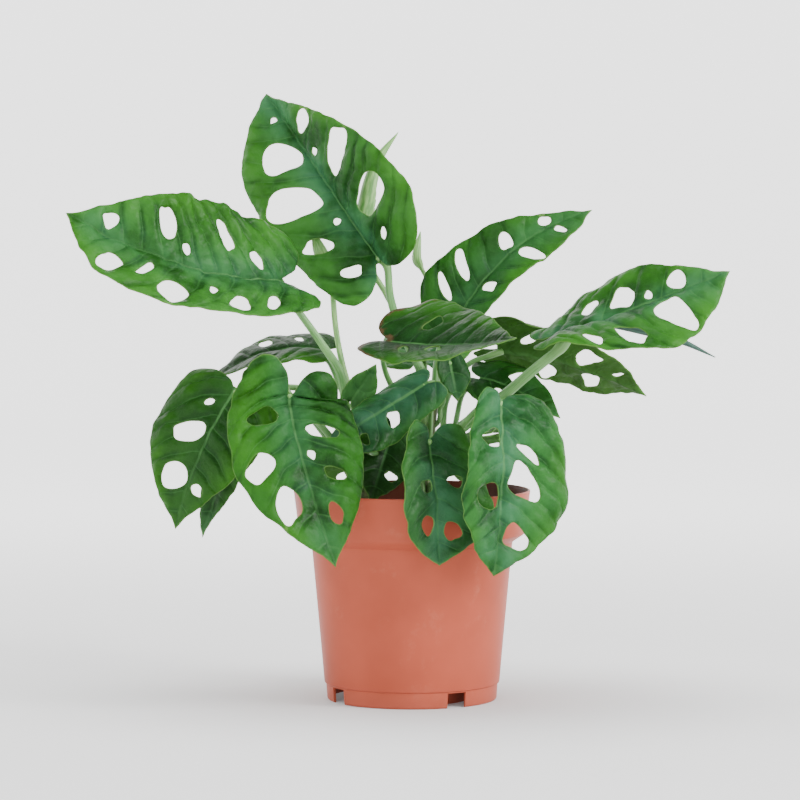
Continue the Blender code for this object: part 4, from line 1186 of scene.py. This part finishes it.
def vine_surface():
    g = Graph("vine bark")
    tone = g.noise(90, 5, 0.65, stretch=(1, 1, 0.25))
    colour = g.mix(g.between(tone, 0.35, 0.68), (0.06, 0.095, 0.03), (0.19, 0.24, 0.085))
    return g.finish(colour, 0.55, g.bump(tone, 0.0004, 0.6))


def root_surface():
    g = Graph("aerial root")
    tone = g.noise(200, 4, 0.6)
    return g.finish(g.mix(tone, (0.1, 0.055, 0.025), (0.24, 0.15, 0.08)), 0.8, g.bump(tone, 0.0003, 0.6))


POT_SURFACE = plastic_surface()
SOIL_SURFACE = earth_surface("peat", (0.006, 0.0035, 0.002), (0.035, 0.021, 0.012), 260)
CRUMB_SURFACE = earth_surface("peat crumb", (0.008, 0.005, 0.003), (0.05, 0.03, 0.017), 500)
BARK_SURFACE = earth_surface("bark", (0.05, 0.025, 0.012), (0.16, 0.09, 0.045), 500)
PERLITE_SURFACE = earth_surface("perlite", (0.5, 0.48, 0.44), (0.75, 0.73, 0.7), 500, 0.8)
VINE_SURFACE = vine_surface()
ROOT_SURFACE = root_surface()


GLOW = 1.6  # how bright the paper is far from the pot


def aimed(name, data, place, target):
    """A lamp or a camera that points at the target."""
    made = add(name, data)
    made.location = place
    made.rotation_euler = (Vector(target) - made.location).to_track_quat("-Z", "Y").to_euler()
    return made


def make_stage():
    """A pale floor that curves up into a wall all round, glowing less near the pot as a painted soft shadow,
    soft lamps and the camera.
    """
    bend = [(2.6 + 0.9 * math.sin(a), 0.9 - 0.9 * math.cos(a)) for a in np.linspace(1.57, 0.1, 9)]
    floor = [(radius, 0.0) for radius in np.linspace(2.6, 0.15, 8)]
    points, faces = lathe([(3.5, 3.4), *bend, *floor, (0, 0.0)], 48)
    g = Graph("studio paper")
    g.finish((0.60, 0.60, 0.60), 0.9, Specular_IOR_Level=0.0)
    g.shader.inputs["Emission Color"].default_value = (1, 1, 1, 1)
    # Painted shadow: the paper's glow is weaker in an oval round the pot's foot, darkest next to it.
    spot = g.node("ShaderNodeMapping", {0: g.place(), 1: (-0.02, 0.02, 0.0), 3: (1.0, 1.3, 1.0)}).outputs[0]
    away = g.node("ShaderNodeVectorMath", {0: spot}, operation="LENGTH").outputs["Value"]
    glow = g.plus(g.between(away, 0.02, 0.26, 0.10, 0.7), g.between(away, 0.3, 1.6, 0.0, GLOW - 0.7))
    g.put(g.shader.inputs["Emission Strength"], glow)
    backdrop = mesh_object("backdrop", np.array(points) / MM, faces, g.material)
    for name, place, size, power in (
        ("key", (1.45, -0.75, 1.1), 0.6, 36),
        ("fill", (-1.0, -1.6, 1.0), 1.0, 1),
        ("top", (0.1, -0.1, 1.7), 0.8, 11),
        ("back", (-0.4, 1.0, 1.1), 0.7, 4),
    ):
        lamp = bpy.data.lights.new(name, "AREA")
        lamp.size = size
        lamp.energy = power
        aimed(name, lamp, place, (0, 0, 0.14))
    world = bpy.data.worlds.new("studio")
    world.use_nodes = True
    world.node_tree.nodes["Background"].inputs[0].default_value = (1, 1, 1, 1)
    world.node_tree.nodes["Background"].inputs[1].default_value = 0.05
    bpy.context.scene.world = world
    camera = bpy.data.cameras.new("camera")
    camera.lens = 163.65
    camera.sensor_width = 36
    bpy.context.scene.camera = aimed("camera", camera, (-0.0061, -1.85, 0.26), (-0.0061, 0, 0.1527))


def main():
    make_pot()
    make_soil()
    make_vines()
    for name, leaf in LEAVES.items():
        make_blade(name, leaf)
        make_stalk(name, leaf)
    for name, bud in BUDS.items():
        make_bud(name, bud)
    make_stage()


main()
